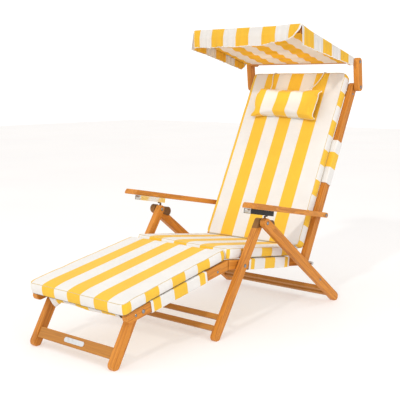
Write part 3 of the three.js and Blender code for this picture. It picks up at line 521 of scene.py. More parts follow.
def two_panels(nx, ny, index, on_cloth):
    """The faces of a top and an under panel, with their corners' places on the cloth."""
    faces, uvs = [], []
    for top in (True, False):
        for i in range(nx):
            for j in range(ny):
                square = [(i, j), (i + 1, j), (i + 1, j + 1), (i, j + 1)]
                if not top:
                    square.reverse()
                faces.append([index[(top,) + c] for c in square])
                uvs.append([on_cloth(*c) for c in square])
    return faces, uvs


def band_cells(spans, lengths):
    """The faces of a band with one row for each span across its stripes, and their corners."""
    cols = len(lengths)
    faces = [grid_cell(i, j, cols) for i in range(len(spans)) for j in range(cols - 1)]
    uvs = [[(a, s), (a, t), (b, t), (b, s)] for a, b in spans for s, t in zip(lengths, lengths[1:])]
    return faces, uvs


def lengths_along(section):
    """How far each point of a section lies along it."""
    return np.concatenate([[0], np.cumsum([dist(a, b) for a, b in zip(section, section[1:])])])


def ring_faces(rings, sides, closed):
    """The skin between rings of points, shut at both ends unless it closes on itself."""
    faces = []
    for i in range(rings if closed else rings - 1):
        j = (i + 1) % rings
        for k in range(sides):
            m = (k + 1) % sides
            faces.append((i * sides + k, i * sides + m, j * sides + m, j * sides + k))
    if not closed:
        faces.append(tuple(range(sides))[::-1])
        faces.append(tuple((rings - 1) * sides + k for k in range(sides)))
    return faces


def tube(name, path, radius, material, closed=True, sides=8):
    """A thin piping along a list of points."""
    path = np.asarray(path)
    n = len(path)
    ahead = np.roll(path, -1, 0) - np.roll(path, 1, 0)
    if not closed:
        ahead[0], ahead[-1] = path[1] - path[0], path[-1] - path[-2]
    ahead /= np.maximum(np.linalg.norm(ahead, axis=1), 1e-12)[:, None]
    normal = np.cross(ahead, [1.0, 0.0, 0.0])
    weak = np.linalg.norm(normal, axis=1) < 0.3
    normal[weak] = np.cross(ahead[weak], [0.0, 0.3, 1.0])
    normal /= np.linalg.norm(normal, axis=1)[:, None]
    side = np.cross(ahead, normal)
    points = []
    for i in range(n):
        for k in range(sides):
            a = TURN * k / sides
            points.append(path[i] + radius * (cos(a) * normal[i] + sin(a) * side[i]))
    obj = make_skin(name, points, ring_faces(n, sides, closed))
    coat(obj, material)
    return obj


# ---- cushions
PAD, BACK_PAD = 0.040, 0.046
CROWN = 0.0035
SEAM_RADIUS = 0.0011


def boxed_cushion(name, place, half, ends, thick, boxing, body, seed, slide=(0.0, 0.0), droop=0.0,
                  taper=(1.0, 1.0), borne=None, dip=0.0, lower=seam_thread, meets=None, bends=None):
    """A boxed cushion: two panels and a boxing strip, swollen by its filling, with rolled seams.

    boxing gives the centre of the stripes on its sides and the width of a pair of them. slide and
    taper hold the values at its two ends, borne the ends of the sling that carries it.
    """
    cell, radius, levels = 0.0105, 0.024, 6
    lift, pressure, swelling = 0.0012, 4.0, 0.0032
    last_stripe, last_width = 0.204, 0.0325
    fold, fold_length, tuck, tuck_length, unevenness = 0.0006, 0.041, 0.0007, 0.0262, 0.0014
    bulge, rest, draw, pull = 0.0038, 0.35, 0.0010, 0.0022
    press, least = 0.003, 0.0004
    cloth_gap, seam_gap, seam_gap_level = 0.0008, 0.0013, 0.0014
    boxing_centre, boxing_pair = boxing
    start, end = ends
    middle, reach = (start + end) / 2, (end - start) / 2
    nx, nu = round(2 * half / cell), round(2 * reach / cell)

    def plan(a, b):
        dx, du = abs(a) * half - (half - radius), abs(b) * reach - (reach - radius)
        x, u = abs(a) * half, abs(b) * reach
        if dx > 0 and du > 0:
            far = max(dx, du) / hypot(dx, du)
            x, u = half - radius + dx * far, reach - radius + du * far
        return copysign(x, a), copysign(u, b)

    def on_cloth(i, j):
        """The stripe at the near edge is cut narrower."""
        x = (2 * i / nx - 1) * half
        over = max(0.0, x - last_stripe) * last_width / (half - last_stripe)
        return min(x, last_stripe) + over, middle + (2 * j / nu - 1) * reach

    points, index = [], {}
    for top in (True, False):
        for i in range(nx + 1):
            for j in range(nu + 1):
                x, u = plan(2 * i / nx - 1, 2 * j / nu - 1)
                index[top, i, j] = len(points)
                swell = CROWN * (1 - abs(x / half) ** 3.0) * (1 - abs(u / reach) ** 6.0)
                v = RAIL_TOP + thick + lift + swell if top else RAIL_TOP + lift
                points.append((x, middle + u, v))
    around = perimeter(nx, nu)
    count = len(around)
    lowest, highest = ([index[(top,) + c] for c in around] for top in (False, True))
    rings = [lowest] + [[] for k in range(1, levels)] + [highest]
    for k in range(1, levels):
        for low, high in zip(lowest, highest):
            rings[k].append(len(points))
            points.append(tuple(Vector(points[low]).lerp(Vector(points[high]), k / levels)))
    faces, uvs = two_panels(nx, nu, index, on_cloth)
    for n in range(count):
        m = (n + 1) % count
        (i0, j0), (i1, j1) = around[n], around[m]
        for k in range(levels):
            faces.append([rings[k][n], rings[k][m], rings[k + 1][m], rings[k + 1][n]])
            h0, h1 = thick * k / levels, thick * (k + 1) / levels
            if i0 == i1:
                along = (middle + (2 * j / nu - 1) * reach - boxing_centre for j in (j0, j1))
                s0, s1 = (s * 2 * STRIPE / boxing_pair for s in along)
            else:
                s0, s1 = ((2 * i / nx - 1) * half for i in (i0, i1))
            uvs.append([(s0, h0), (s1, h0), (s1, h1), (s0, h1)])
    obj = make_skin(name + "_padded", points, faces, uvs)
    pins = [index[False, i, j] for i in range(2, nx - 1) for j in range(2, nu - 1)]
    co = inflate(obj, pins, pressure, swelling)
    x, u, v = co.T
    # the filling draws the cloth in: the panels are set back to the cushion's length and width
    edge = co[highest]
    near, far = edge[:, 1].min(), edge[:, 1].max()
    x *= half / np.abs(edge[:, 0]).max()
    u[:] = middle + (u - (far + near) / 2) * 2 * reach / (far - near)
    # the seams hold, the boxing between them bulges and puckers
    arc = np.arange(count) * cell
    for k, ring in enumerate(rings):
        away = co[ring] - np.array([0.0, middle, 0.0])
        for axis, size in ((0, half), (1, reach)):
            past = np.maximum(0, np.abs(away[:, axis]) - (size - radius))
            away[:, axis] = np.sign(away[:, axis]) * past
        away[:, 2] = 0
        away /= np.maximum(np.linalg.norm(away, axis=1), 1e-9)[:, None]
        h = sin(pi * k / levels)
        pucker = (fold * np.sin(arc * TURN / fold_length + seed + 0.5 * k)
                  + tuck * np.sin(arc * TURN / tuck_length + 2 * seed))
        soft = np.array([unevenness * noise.noise(Vector((s * 16, seed, k * 0.35))) for s in arc])
        co[ring] += away * (bulge * h + (pucker + soft) * (rest + (1 - rest) * h) - draw)[:, None]
    # the long sides pull in a little, and the top is uneven but no higher than its crown
    span = np.clip(1 - ((u - middle) / reach) ** 2, 0, 1)
    x -= pull * span * np.clip(x / half, -1, 1)
    waves = rumple(co, 0.0018, 13.0, seed) + rumple(co, 0.0008, 40.0, seed + 5)
    v += waves * np.clip((v - RAIL_TOP) / thick, 0, 1)
    limit = RAIL_TOP + thick + CROWN + press / 2
    over = v > limit - press
    v[over] = limit - press + press * np.tanh((v[over] - limit + press) / press)
    v[:] = np.maximum(v, RAIL_TOP + least)
    nose = 0.060
    v -= droop * np.clip((start + nose - u) / nose, 0, 1) ** 1.5
    along = np.clip((end - u) / (end - start), 0, 1)
    width = taper[1] + (taper[0] - taper[1]) * along ** 0.6
    x[:] = x * width + slide[1] + (slide[0] - slide[1]) * along
    if borne:
        # beyond the sling's cloth the underside comes down onto the rails
        sling_cloth, step = 0.0024, 0.012
        beyond = np.clip(np.maximum(borne[0] - u, u - borne[1]) / step, 0, 1)
        under = np.clip(1 - (v - RAIL_TOP) / (0.6 * thick), 0, 1)
        v -= sling_cloth * beyond * under
    if dip:
        # the top rolls down to the cushion that it meets, most in the middle of its width
        roll, flat_share = 0.030, 0.35
        near_end = np.clip((u - (end - roll)) / roll, 0, 1)
        high = np.clip((v - RAIL_TOP) / thick, 0, 1)
        across = 1 - np.clip((x / half - flat_share) / (1 - flat_share), 0, 1) ** 2
        v -= dip * near_end ** 1.3 * high * across
    place_points(obj, place.world(co))
    smooth(obj, canvas)
    fine = coordinates(obj)
    if meets:
        # the end that leans on the next cushion is pressed flat against it, its seams stay outside
        other, sign = meets
        away = place.direction(sign)
        fine = kept_clear(fine, other, away, cloth_gap)
        place_points(obj, fine)
    parts = [obj]
    # subdivision keeps the first points first, so the seam rings are found again
    for label, ring, thread in (("top", highest, seam_thread), ("bottom", lowest, lower)):
        path = fine[ring]
        if meets:
            path = kept_clear(path, other, away, seam_gap)
            path = kept_clear(path, other, np.array([0.0, sign, 0.0]), seam_gap_level)
        seam = tube(f"{name}_seam_{label}", path, SEAM_RADIUS, thread)
        parts.append(seam)
    for part in parts:
        if bends:
            # the end that stands on the seat's cushion stays there; the cushion is baked where it
            # lies and not attached to the back, and low and high are not used
            low, high = (tuple(float(c) for c in place.world([[0.0, u, 0.0]])[0]) for u in bends)
            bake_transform(part)
        else:
            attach(part, body)
    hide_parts(name)
    return obj


seat_pad = boxed_cushion("seat_cushion", SEAT, 0.2455, (-0.071, 0.429), PAD, (0.191, 0.1417),
                         "seat", 1, droop=0.0022, borne=(0.059, 0.353))
boxed_cushion("footrest_cushion", FOOTREST, 0.2480, (-0.5680, 0.004), PAD, (-0.280, 0.1433),
              "footrest", 2, slide=(0.007, 0.0), droop=0.005, taper=(1.010, 0.972),
              borne=(-0.440, -0.126), dip=0.016, lower=painted_shadow_thread, meets=(seat_pad, -1.0))
boxed_cushion("back_cushion", BACK, 0.2540, (0.048, 0.871), BACK_PAD, (0.4620, 0.1406),
              "back", 3, slide=(0.0105, 0.0065), meets=(seat_pad, 1.0), bends=(0.060, 0.112))


# ---- head pillow
def head_pillow():
    """Two panels sewn at their edges and filled, so the corners stay out as ears."""
    corners = {(-1, -1): (-0.174, 0.632), (1, -1): (0.184, 0.620),
               (1, 1): (0.186, 0.765), (-1, 1): (-0.158, 0.777)}
    nx, nu = 60, 26
    half, reach, middle = 0.176, 0.078, 0.702
    swelling, pressure, cap = 0.020, 9.0, 0.024
    thick, rest = 0.055, RAIL_TOP + BACK_PAD + 0.0048
    shift, last_stripe, drawn_out, row = 0.013, 0.130, 0.62, 0.006
    points, index = [], {}

    def on_cloth(i, j):
        """The last yellow stripe is drawn out to the piping at the end."""
        s = (2 * i / nx - 1) * half + shift
        if s >= last_stripe:
            s = last_stripe + (s - last_stripe) * drawn_out
        return s, j * row

    for top in (True, False):
        for i in range(nx + 1):
            for j in range(nu + 1):
                a, b = 2 * i / nx - 1, 2 * j / nu - 1
                if (i in (0, nx) or j in (0, nu)) and not top:
                    index[top, i, j] = index[True, i, j]
                    continue
                swell = swelling * (1 - a ** 6) * (1 - b ** 2)
                index[top, i, j] = len(points)
                points.append((a * half, middle + b * reach, swell if top else -swell * 0.6))
    obj = make_skin("head_pillow_padded", points, *two_panels(nx, nu, index, on_cloth))
    co = inflate(obj, [index[True, 0, 0]], pressure, cap, bending=0.3)
    # the four ears are set where the pillow has them, the rest follows
    moves = {}
    for (ca, cb), (x, u) in corners.items():
        q = co[index[True, nx if ca > 0 else 0, nu if cb > 0 else 0]]
        moves[ca, cb] = (x - q[0], u - q[1])
    x, u, v = co.T
    a = np.clip(x / np.abs(x).max(), -1, 1)
    b = np.clip((u - middle) / reach, -1, 1)
    for (ca, cb), (dx, du) in moves.items():
        w = (1 + ca * a) * (1 + cb * b) / 4
        x += w * dx
        u += w * du
    x += 0.007 * np.clip(np.abs(a), 0, 1) ** 4 * np.sign(a) * (1 - b ** 2)
    # its filling gathers in the middle, so it is round from edge to edge
    seam_height = v[[index[True, i, 0] for i in range(nx + 1)]].mean()
    v -= 0.55 * np.maximum(v - seam_height, 0.0) * np.abs(b) ** 2.3
    v -= v.min()
    v *= thick / v.max()
    v += rumple(co, 0.0018, 28.0, 9) * np.clip(v / 0.03, 0, 1)
    v[:] = np.maximum(v, 0.0) + rest
    place_points(obj, BACK.world(co))
    smooth(obj, canvas)
    fine = coordinates(obj)
    ring = [index[(True,) + c] for c in perimeter(nx, nu)]
    seam = tube("head_pillow_seam", fine[ring], SEAM_RADIUS, seam_thread)
    end = [index[True, nx, j] for j in range(nu + 1)]
    piping = tube("head_pillow_piping", fine[end], 0.0021, white_cord, closed=False)
    for piece in (obj, seam, piping):
        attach(piece, "back")
    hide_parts("head_pillow")
    return co[[index[True, i, nu] for i in range(nx + 1)]]


pillow_edge = head_pillow()


def pillow_cord(label, leaves, hangs):
    """The cord runs from the pillow's top edge over the cushion's end to the bar behind."""
    radius = 0.0023
    top = RAIL_TOP + BACK_PAD
    bar = 0.799 + 0.0126
    x, u, v = pillow_edge[np.argmin(np.abs(pillow_edge[:, 0] - leaves))]
    points = [
        (x, u - 0.004, v), (x, u + 0.003, v), (x + (hangs - x) * 0.25, u + 0.022, top + 0.016),
        (x + (hangs - x) * 0.65, u + 0.050, top + 0.0105), (hangs, 0.848, top + 0.0085),
        (hangs, 0.868, top + 0.0055), (hangs, 0.8785, top - 0.006), (hangs, 0.8790, 0.0400),
        (hangs, 0.8780, 0.0225), (hangs, 0.8660, 0.0160), (hangs, bar + 0.024, 0.0098),
        (hangs, bar + 0.0016, 0.0),
    ]
    curve = bpy.data.curves.new("path", "CURVE")
    curve.dimensions = "3D"
    spline = curve.splines.new("NURBS")
    spline.points.add(len(points) - 1)
    for p, q in zip(spline.points, BACK.world(points)):
        p.co = (*q, 1)
    spline.use_endpoint_u = True
    spline.order_u = 4
    spline.resolution_u = 8
    path = add_object("path", curve)
    dg = bpy.context.evaluated_depsgraph_get()
    line = np.array([v.co for v in path.evaluated_get(dg).to_mesh().vertices])
    bpy.data.objects.remove(path)
    obj = tube(f"pillow_cord_{label}_twisted", line, radius, white_cord, closed=False, sides=10)
    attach(obj, "back")
    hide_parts(f"pillow_cord_{label}")


pillow_cord("left", 0.106, 0.146)
pillow_cord("right", -0.106, -0.128)

# ---- slings
RAIL_CENTRE, LEG_CENTRE = 0.237, 0.267
# a yellow and a white stripe run 142 mm along the slings
SLING_PITCH = 2 * STRIPE / 0.142


def sling(name, place, centre, span, stripe_centre, body):
    """A band of cloth that goes round both rails and is sewn back, its edges hemmed in white."""
    timber, rail, gap, cloth, hem = 0.013, 0.019, 0.0009, 0.0022, 0.013
    bend, pitch, stitch, at_face = 0.0028, 0.011, 0.0004, 0.0005
    hem_rise, slack_depth, slack_length, least, side_most = 0.0008, 0.0009, 0.043, -0.0002, 0.0002
    x_in, x_out = centre - timber - gap, centre + timber + gap
    low, high = -rail - gap, rail + gap

    def corner(cx, cv, a0, a1):
        turn = np.linspace(a0, a1, 4)
        return [(cx + bend * cos(a), cv + bend * sin(a)) for a in turn]

    q = pi / 2
    half = [(x_in, high - 0.0045)]
    half += [(x_in, high - 0.010 - k * (high - low - 0.013) / 4) for k in range(4)]
    half += corner(x_in + bend, low + bend, 2 * q, 3 * q) + [(centre, low)]
    half += corner(x_out - bend, low + bend, -q, 0)
    half += [(x_out, low + (high - low) * s) for s in (0.25, 0.5, 0.75)]
    half += corner(x_out - bend, high - bend, 0, q)
    half += [(x, high) for x in np.linspace(centre, 0.02, 14)]
    section = half + [(0.0, high)] + [(-x, v) for x, v in reversed(half)]
    lengths = lengths_along(section)
    lengths -= lengths[-1] / 2
    start, end = span
    rows = [start, start + hem * 0.5, start + hem - stitch, start + hem + stitch]
    steps = max(4, round((end - start - 2 * hem) / pitch))
    rows += list(np.linspace(start + hem, end - hem, steps + 1)[1:-1])
    rows += [end - hem - stitch, end - hem + stitch, end - hem * 0.5, end]
    points = []
    for u in rows:
        hemmed = u < start + hem or u > end - hem
        for (x, v), s in zip(section, lengths):
            slack = (slack_depth * sin(u * TURN / slack_length + 3 * s)
                     + 0.0006 * noise.noise(Vector((u * 60, s * 45, 0.0))))
            grow = (hem_rise if hemmed else 0.0) + max(least, slack)
            out_x = out_v = 0
            if abs(x) > x_out - at_face:
                out_x = copysign(1, x)
            elif abs(abs(x) - x_in) < at_face:
                out_x = -copysign(1, x)
            if out_x:
                grow = min(grow, side_most)
            if v < low + at_face:
                out_v = -1
            elif v > high - at_face and abs(x) > x_in:
                out_v = 0.25
            points.append((x + out_x * grow, u, v + out_v * grow))
    spans = []
    for near, far in zip(rows, rows[1:]):
        if far <= start + hem or near >= end - hem:
            spans.append((STRIPE + 0.002, STRIPE + 0.012))
        else:
            spans.append([(u - stripe_centre) * SLING_PITCH for u in (near, far)])
    obj = make_skin(name + "_cloth", place.world(points), *band_cells(spans, lengths))
    thicken(obj, cloth, 1, canvas)
    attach(obj, body)
    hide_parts(name)
    across = lengths[-1] - lengths[0]
    round(one_side(obj) / across, 4)


sling("seat_sling", SEAT, RAIL_CENTRE, (0.063, 0.349), 0.207, "seat")
sling("footrest_sling", FOOTREST, RAIL_CENTRE, (-0.436, -0.130), -0.280, "footrest")
sling("back_sling", BACK, LEG_CENTRE, (0.360, 0.563), 0.470, "back")


def front_loop():
    """The footrest's cloth runs on below the cushion and hangs slack round the front dowel."""
    centre, start, side = -0.5160, -0.436, 0.188
    radius, slack, cloth = 0.0138, 0.0062, 0.0018
    sag, sag_length, slant_from, slant_width = 0.0022, 0.21, 0.135, 0.053
    point, pulled, white_from, shift = 0.023, 0.020, -0.146, 0.004
    nx, turns = 54, 20
    section = [(start + 0.010, 0.0206), (start - 0.012, 0.0204), (start - 0.035, 0.0190),
               (start - 0.055, 0.0168)]
    for k in range(1, turns):
        a = pi / 2 + TURN * k / turns
        hangs = slack * max(0.0, -sin(a)) ** 0.7
        section.append((centre + radius * cos(a), radius * sin(a) + 0.0004 - hangs))
    section.append((centre + 0.012, 0.0118))
    points, spans = [], []
    for i in range(nx + 1):
        x = -side + 2 * side * i / nx
        droop = (sag * sin(x * TURN / sag_length + 0.6)
                 + 0.0016 * noise.noise(Vector((x * 30, 0.0, 3.0))))
        far_end = max(0.0, (-x - slant_from) / slant_width)
        for u, v in section:
            low = max(0.0, -v) / 0.02
            # its far end is cut on the slant and hangs in a point
            points.append((x + pulled * far_end * low, u - 0.4 * droop * low,
                           v - droop * low - point * far_end ** 0.8 * low ** 1.5))
    for i in range(nx):
        x0, x1 = (-side + 2 * side * k / nx for k in (i, i + 1))
        if x1 < white_from:
            x0, x1 = STRIPE + 0.001, STRIPE + 0.004
        spans.append((x0 + shift, x1 + shift))
    cells = band_cells(spans, lengths_along(section))
    obj = make_skin("footrest_sling_front_loop", FOOTREST.world(points), *cells)
    thicken(obj, cloth, 0, canvas)
    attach(obj, "footrest")
    round(one_side(obj) / (2 * side), 4)


front_loop()


# ---- small metal trim
def dome_bolt(name, place, x, u, v, body):
    """A low domed head with its recess, let into the timber's side."""
    side = copysign(1.0, x)
    profile = [(0.0052, -0.0016), (0.0052, 0.0004), (0.0046, 0.0013), (0.0032, 0.0020),
               (0.0019, 0.0022), (0.0017, 0.0008)]
    around = 20
    turn = [TURN * k / around for k in range(around)]
    points = [(x + side * out, u + r * cos(a), v + r * sin(a))
              for r, out in profile for a in turn]
    obj = make_skin(name, place.world(points), ring_faces(len(profile), around, False))
    coat(obj, bolt_steel, flat_faces=2)
    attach(obj, body)


def channel_end(side, sign):
    """The pressed plate that closes the ratchet channel's front end."""
    middle, low, front, thick = sign * 0.292, -0.0307, -0.5434, 0.0012
    half, tall, domed, cut = 0.0146, 0.0172, 0.0022, 0.10
    nx, nv = 14, 9
    points = []
    for layer in (0, 1):
        for i in range(nx + 1):
            for j in range(nv + 1):
                a, b = 2 * i / nx - 1, 2 * j / nv - 1
                rounded = 1 - cut * (a * a * b * b)
                dome = domed * (1 - max(abs(a), abs(b)) ** 2.5)
                points.append((middle + a * half * rounded, front - dome + layer * thick,
                               low + tall * (b * rounded + 1) / 2))

    def at(layer, i, j):
        return (layer * (nx + 1) + i) * (nv + 1) + j

    faces = [(at(layer, i, j), at(layer, i + 1, j), at(layer, i + 1, j + 1), at(layer, i, j + 1))
             for layer in (0, 1) for i in range(nx) for j in range(nv)]
    rim = perimeter(nx, nv)
    for (i0, j0), (i1, j1) in zip(rim, rim[1:] + rim[:1]):
        faces.append((at(0, i0, j0), at(0, i1, j1), at(1, i1, j1), at(1, i0, j0)))
    obj = make_skin(f"ratchet_channel_end_{side}", ARM.world(points), faces)
    coat(obj, end_steel)
    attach(obj, f"arm_{side}")


for side, sign in (("left", 1), ("right", -1)):
    dome_bolt(f"footrest_screw_front_{side}", FOOTREST, sign * 0.250, -0.5110, 0.0, "footrest")
    dome_bolt(f"footrest_screw_rear_{side}", FOOTREST, sign * 0.250, -0.0655, -0.0035, "footrest")
    dome_bolt(f"rear_leg_screw_{side}", REAR_LEG, sign * 0.310, 0.4970, 0.0, "rear_legs")
    channel_end(side, sign)
    dome_bolt(f"back_screw_{side}", BACK, sign * 0.280, 0.7990, 0.0, "back")

# ---- canopy
PANEL_SHIFT = 0.008


def hang(drop):
    """How far cloth that hangs plumb goes along the canopy and down."""
    return -drop * CANOPY.s, -drop * CANOPY.c


def smoothstep(q):
    q = min(1.0, max(0.0, q))
    return q * q * (3 - 2 * q)


def gather(s, part, side):
    """Small folds that grow towards the hem."""
    folds = ((1.0, 0.031, 1.3), (0.6, 0.0173, 2.1), (0.45, 0.0098, 1.0))
    w = sum(size * sin(s * TURN / length + side * shift) for size, length, shift in folds)
    return (0.0018 * w + 0.0026 * noise.noise(Vector((s * 38, side * 3.0, 0.5)))) * part ** 0.6


def canopy_cover():
    """One continuous sheet: over the rails, down both sides and the front, gathered there."""
    front, rear, half, level = -0.462, -0.024, 0.2870, 0.0163
    front_drop, rear_drop, bar_drop = 0.077, 0.038, 0.035
    far_front_drop, far_rear_drop = 0.081, 0.064
    cloth, hem_radius, fall, edge, tucked = 0.0014, 0.0017, 0.0022, 0.006, 0.0008
    near_flare, far_flare, flare_share = 0.002, 0.015, 0.22
    near_cut, far_cut, least_cut, cut_from = 0.062, 0.008, 0.003, 0.190
    rows, tops, drops, front_rows = 112, 78, 12, 14
    points, index = [], {}

    def top_point(share, u, c):
        """The roof sags between its bars in ripples, and rounds over the rails' edges."""
        x = (2 * c / tops - 1) * half
        inner = max(0.0, 1 - (abs(x) / 0.252) ** 2)
        ends = sin(pi * min(1.0, max(0.0, (share - 0.06) / 0.86)))
        ripple = (0.0021 * sin(u * TURN / 0.058 + 0.35 * sin(x * 9))
                  + 0.0011 * noise.noise(Vector((x * 10, u * 34, 1.0))))
        v = level - 0.0035 * inner * ends + ripple * ends * inner ** 0.35
        v += 0.0045 * smoothstep((x - 0.13) / 0.13) * (1 - smoothstep(share / 0.20))
        shoulder = max(0.0, abs(x) - (half - edge)) / edge
        return copysign(abs(x) - tucked * shoulder, x), u, v - fall * shoulder ** 2

    def side_point(share, u, side, part):
        """The far side hangs lower, with a rounded rear corner and a flared front one."""
        if side < 0:
            drop = (far_front_drop + (far_rear_drop - far_front_drop) * share) * part
            drop *= 1 - 0.80 * smoothstep((share - 0.84) / 0.16)
        else:
            drop = (front_drop + (rear_drop - front_drop) * share) * part
            drop *= 1 - 0.10 * max(0.0, (share - 0.93) / 0.07) ** 2 * part ** 2
        du, dv = hang(drop)
        flare = (far_flare if side < 0 else near_flare) * part * max(0.0, 1 - share / flare_share)
        x = side * (half + 0.0006 + gather(u, part, side) + 0.0010 * part + flare)
        return x, u + du * (1 - 0.55 * share ** 6), level - fall + dv

    def front_point(part, c):
        """The near end is cut shorter. The cloth lies on the front bar first, then hangs plumb."""
        a = 2 * c / tops - 1
        drop = front_drop * part * (1 - 0.25 * smoothstep((a - 0.15) / 0.75))
        along = min(drop, bar_drop)
        du, dv = hang(drop - along)
        dv -= along
        # the lower corners are cut round, the near one more than the far one
        cut = least_cut + (near_cut * part ** 2.2 if a > 0 else far_cut * part)
        inset = cut * max(0.0, (abs(a) * half - cut_from) / (half - cut_from)) ** 1.2
        x = a * half - copysign(inset, a)
        wave = gather(x, part, 3.0) * 1.15 + 0.0012 * sin(x * 17 + 1.0) * part
        lift = 0.0018 * part * sin(x * TURN / (2 * STRIPE) + 0.4)
        return x, front + du - wave - 0.0006, level - 0.002 + dv + lift

    for t in range(rows + 1):
        share = t / rows
        u = front + (rear - front) * share
        for c in range(-drops, tops + drops + 1):
            index[t, c] = len(points)
            if c < 0:
                points.append(side_point(share, u, -1, -c / drops))
            elif c > tops:
                points.append(side_point(share, u, 1, (c - tops) / drops))
            else:
                points.append(top_point(share, u, c))
    for c in range(tops + 1):
        index["front", 0, c] = index[0, c]
    for r in range(1, front_rows + 1):
        for c in range(tops + 1):
            index["front", r, c] = len(points)
            points.append(front_point(r / front_rows, c))

    world = CANOPY.world(points)
    faces, uvs = [], []
    side_scale, side_centre = 2 * STRIPE / 0.1435, 0.4495 + 0.01786

    def add_face(f, corners, white):
        if white:
            corners = [(STRIPE + 0.001 * k, p[1]) for k, p in enumerate(corners)]
        faces.append(f)
        uvs.append(corners)

    for t in range(rows):
        for c in range(-drops, tops + drops):
            f = [index[t, c], index[t + 1, c], index[t + 1, c + 1], index[t, c + 1]]
            if 0 <= c < tops:
                add_face(f, [(points[q][0] + PANEL_SHIFT, points[q][1]) for q in f], False)
            else:
                corners = [((world[q][1] - side_centre) * side_scale, points[q][2]) for q in f]
                add_face(f, corners, t == 0)
    for r in range(front_rows):
        for c in range(tops):
            corners = ((r, c), (r, c + 1), (r + 1, c + 1), (r + 1, c))
            f = [index[("front",) + p] for p in corners]
            add_face(f, [(points[q][0] + PANEL_SHIFT, points[q][2]) for q in f], c == tops - 1)
    obj = make_skin("canopy_cover_cloth", world, faces, uvs)
    if sum(p.normal.z for p in obj.data.polygons) < 0:
        obj.data.flip_normals()
    thicken(obj, cloth, 1, awning)
    lines = {
        "front": [index["front", front_rows, c] for c in range(tops + 1)],
        "left": [index[t, tops + drops] for t in range(rows + 1)],
        "right": [index[t, -drops] for t in range(rows + 1)],
        "rear": [index[rows, c] for c in range(-drops, tops + drops + 1)],
        "near_corner": [index["front", r, tops] for r in range(front_rows + 1)],
        "far_corner": [index["front", r, 0] for r in range(front_rows + 1)],
    }
    for label, ids in lines.items():
        h = tube(f"canopy_hem_{label}", world[ids], hem_radius, white_cord, closed=False)
        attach(h, "canopy")
    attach(obj, "canopy")
    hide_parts("canopy_cover")
    round(one_side(obj), 4)


canopy_cover()


def canopy_lining():
    """The cover's lower layer, drawn across under the rails, with ripples from side to side."""
    front, rear, half, level = -0.4575, -0.0412, 0.2842, -0.0172
    ripple_length, ripple_depth, sag, turned_up = 0.060, 0.0028, 0.0035, 0.0150
    pulled, stripe_pulled, row, cloth = 0.0010, 0.0021, 0.006, 0.0012
    nx, nu = 64, 70
    points, faces, uvs = [], [], []
    for j in range(nu + 1):
        u = front + (rear - front) * j / nu
        ends = sin(pi * j / nu) ** 0.35 if 0 < j < nu else 0.0
        for i in range(nx + 1):
            x = (2 * i / nx - 1) * half
            inner = max(0.0, 1 - (x / half) ** 2) ** 0.4
            fold = sin(u * TURN / ripple_length + 0.8 * sin(x * 11)
                            + 2.2 * noise.noise(Vector((x * 6, u * 5, 4.0))))
            v = level - ripple_depth * (1 + fold) * ends * (0.25 + 0.75 * inner)
            v -= sag * inner * ends
            # the rear end turns up in front of the bar
            v += turned_up * max(0.0, 1 - (nu - j) / 2.0)
            # each ripple also pulls the stripes a little to one side
            points.append((x + pulled * fold * inner * ends, u, v))
    for j in range(nu):
        for i in range(nx):
            corners = []
            for r, c in ((j, i), (j, i + 1), (j + 1, i + 1), (j + 1, i)):
                u = front + (rear - front) * r / nu
                x = (2 * c / nx - 1) * half + PANEL_SHIFT
                corners.append((x + stripe_pulled * sin(u * TURN / ripple_length), r * row))
            faces.append(grid_cell(j, i, nx + 1))
            uvs.append(corners)
    obj = make_skin("canopy_lining", CANOPY.world(points), faces, uvs)
    thicken(obj, cloth, 0, lining_cloth)
    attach(obj, "canopy")
    round(one_side(obj) / (2 * half), 4)


canopy_lining()


# ---- floor and light
def floor_look():
    """A pale studio table, lit a little from below, so that shadows on it stay faint."""
    m, t = shader("studio_floor")
    cloud = speckle(t, node(t, "TexCoord").outputs["Object"], 0.8, 2.0)
    color = ramp(t, cloud, [(0.3, (0.57, 0.575, 0.58, 1)), (0.7, (0.60, 0.60, 0.60, 1))])
    return principled(m, color, 0.9, {
        "Specular IOR Level": 0.05, "Emission Color": (1.0, 0.945, 0.915, 1),
        "Emission Strength": 0.42,
    })


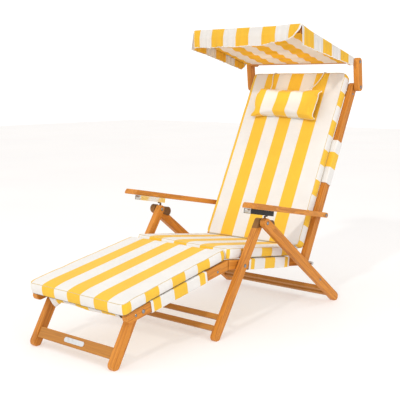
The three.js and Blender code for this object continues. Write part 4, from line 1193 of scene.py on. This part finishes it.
def studio_floor():
    size, steps = 14.0, 28
    marks = [-size + 2 * size * i / steps for i in range(steps + 1)]
    cells = [grid_cell(i, j, steps + 1)[::-1] for i in range(steps) for j in range(steps)]
    floor = make_mesh("floor", [(x, y, 0.0) for x in marks for y in marks], cells)
    floor.data.materials.append(floor_look())


def studio_world():
    """Even light, a little brighter overhead and brightest towards the backdrop."""
    world = bpy.data.worlds.new("studio")
    scene.world = world
    world.use_nodes = True
    t = world.node_tree
    t.nodes.clear()
    way = node(t, "TexCoord").outputs["Generated"]
    ahead = {0: way, 1: (-0.645, 0.764, 0.0)}
    toward = node(t, "VectorMath", ahead, operation="DOT_PRODUCT").outputs["Value"]
    up = node(t, "SeparateXYZ", {0: way}).outputs[2]
    backdrop = remap(t, toward, 0.72, 0.93, 0.0, 0.36, "SMOOTHSTEP")
    overhead = remap(t, up, 0.15, 0.9, 0.80, 0.84, "SMOOTHSTEP")
    light = {"Color": (1.0, 0.990, 0.975, 1), "Strength": math_node(t, "ADD", backdrop, overhead)}
    feed(t, node(t, "OutputWorld").inputs[0], node(t, "Background", light).outputs[0])


def lamp(name, kind, place, target, energy, color, size):
    """size is an area lamp's width in metres, or the sun's angle in degrees."""
    data = bpy.data.lights.new(name, kind)
    data.energy = energy
    data.color = color
    if kind == "AREA":
        data.size = size
    else:
        data.angle = radians(size)
    obj = add_object(name, data)
    obj.location = place
    obj.rotation_euler = (Vector(target) - Vector(place)).to_track_quat("-Z", "Y").to_euler()
    return data


studio_floor()
studio_world()
lamp("key", "SUN", (1.1, -5.0, 2.65), (0, 0, 0), 0.77, (1.0, 0.975, 0.935), 3.0)
lamp("fill_left", "AREA", (-3.0, -2.4, 3.0), (0, 0, 0.6), 24, (1.0, 0.98, 0.95), 2.5)
lamp("fill_right", "AREA", (3.4, -0.9, 2.0), (0, 0, 0.6), 34, (0.97, 0.985, 1.0), 2.5)
lamp("overhead", "AREA", (0.3, -0.7, 3.2), (0, -0.1, 0), 11.5, (1.0, 0.985, 0.96), 2.0)
under_canopy = lamp("under_canopy", "AREA", (0.0, 0.48, 1.060), (0.0, 0.72, 1.01), 0.15,
                    (1.0, 0.88, 0.68), 0.30)
under_canopy.spread = radians(110)
scene.view_settings.view_transform = "Standard"
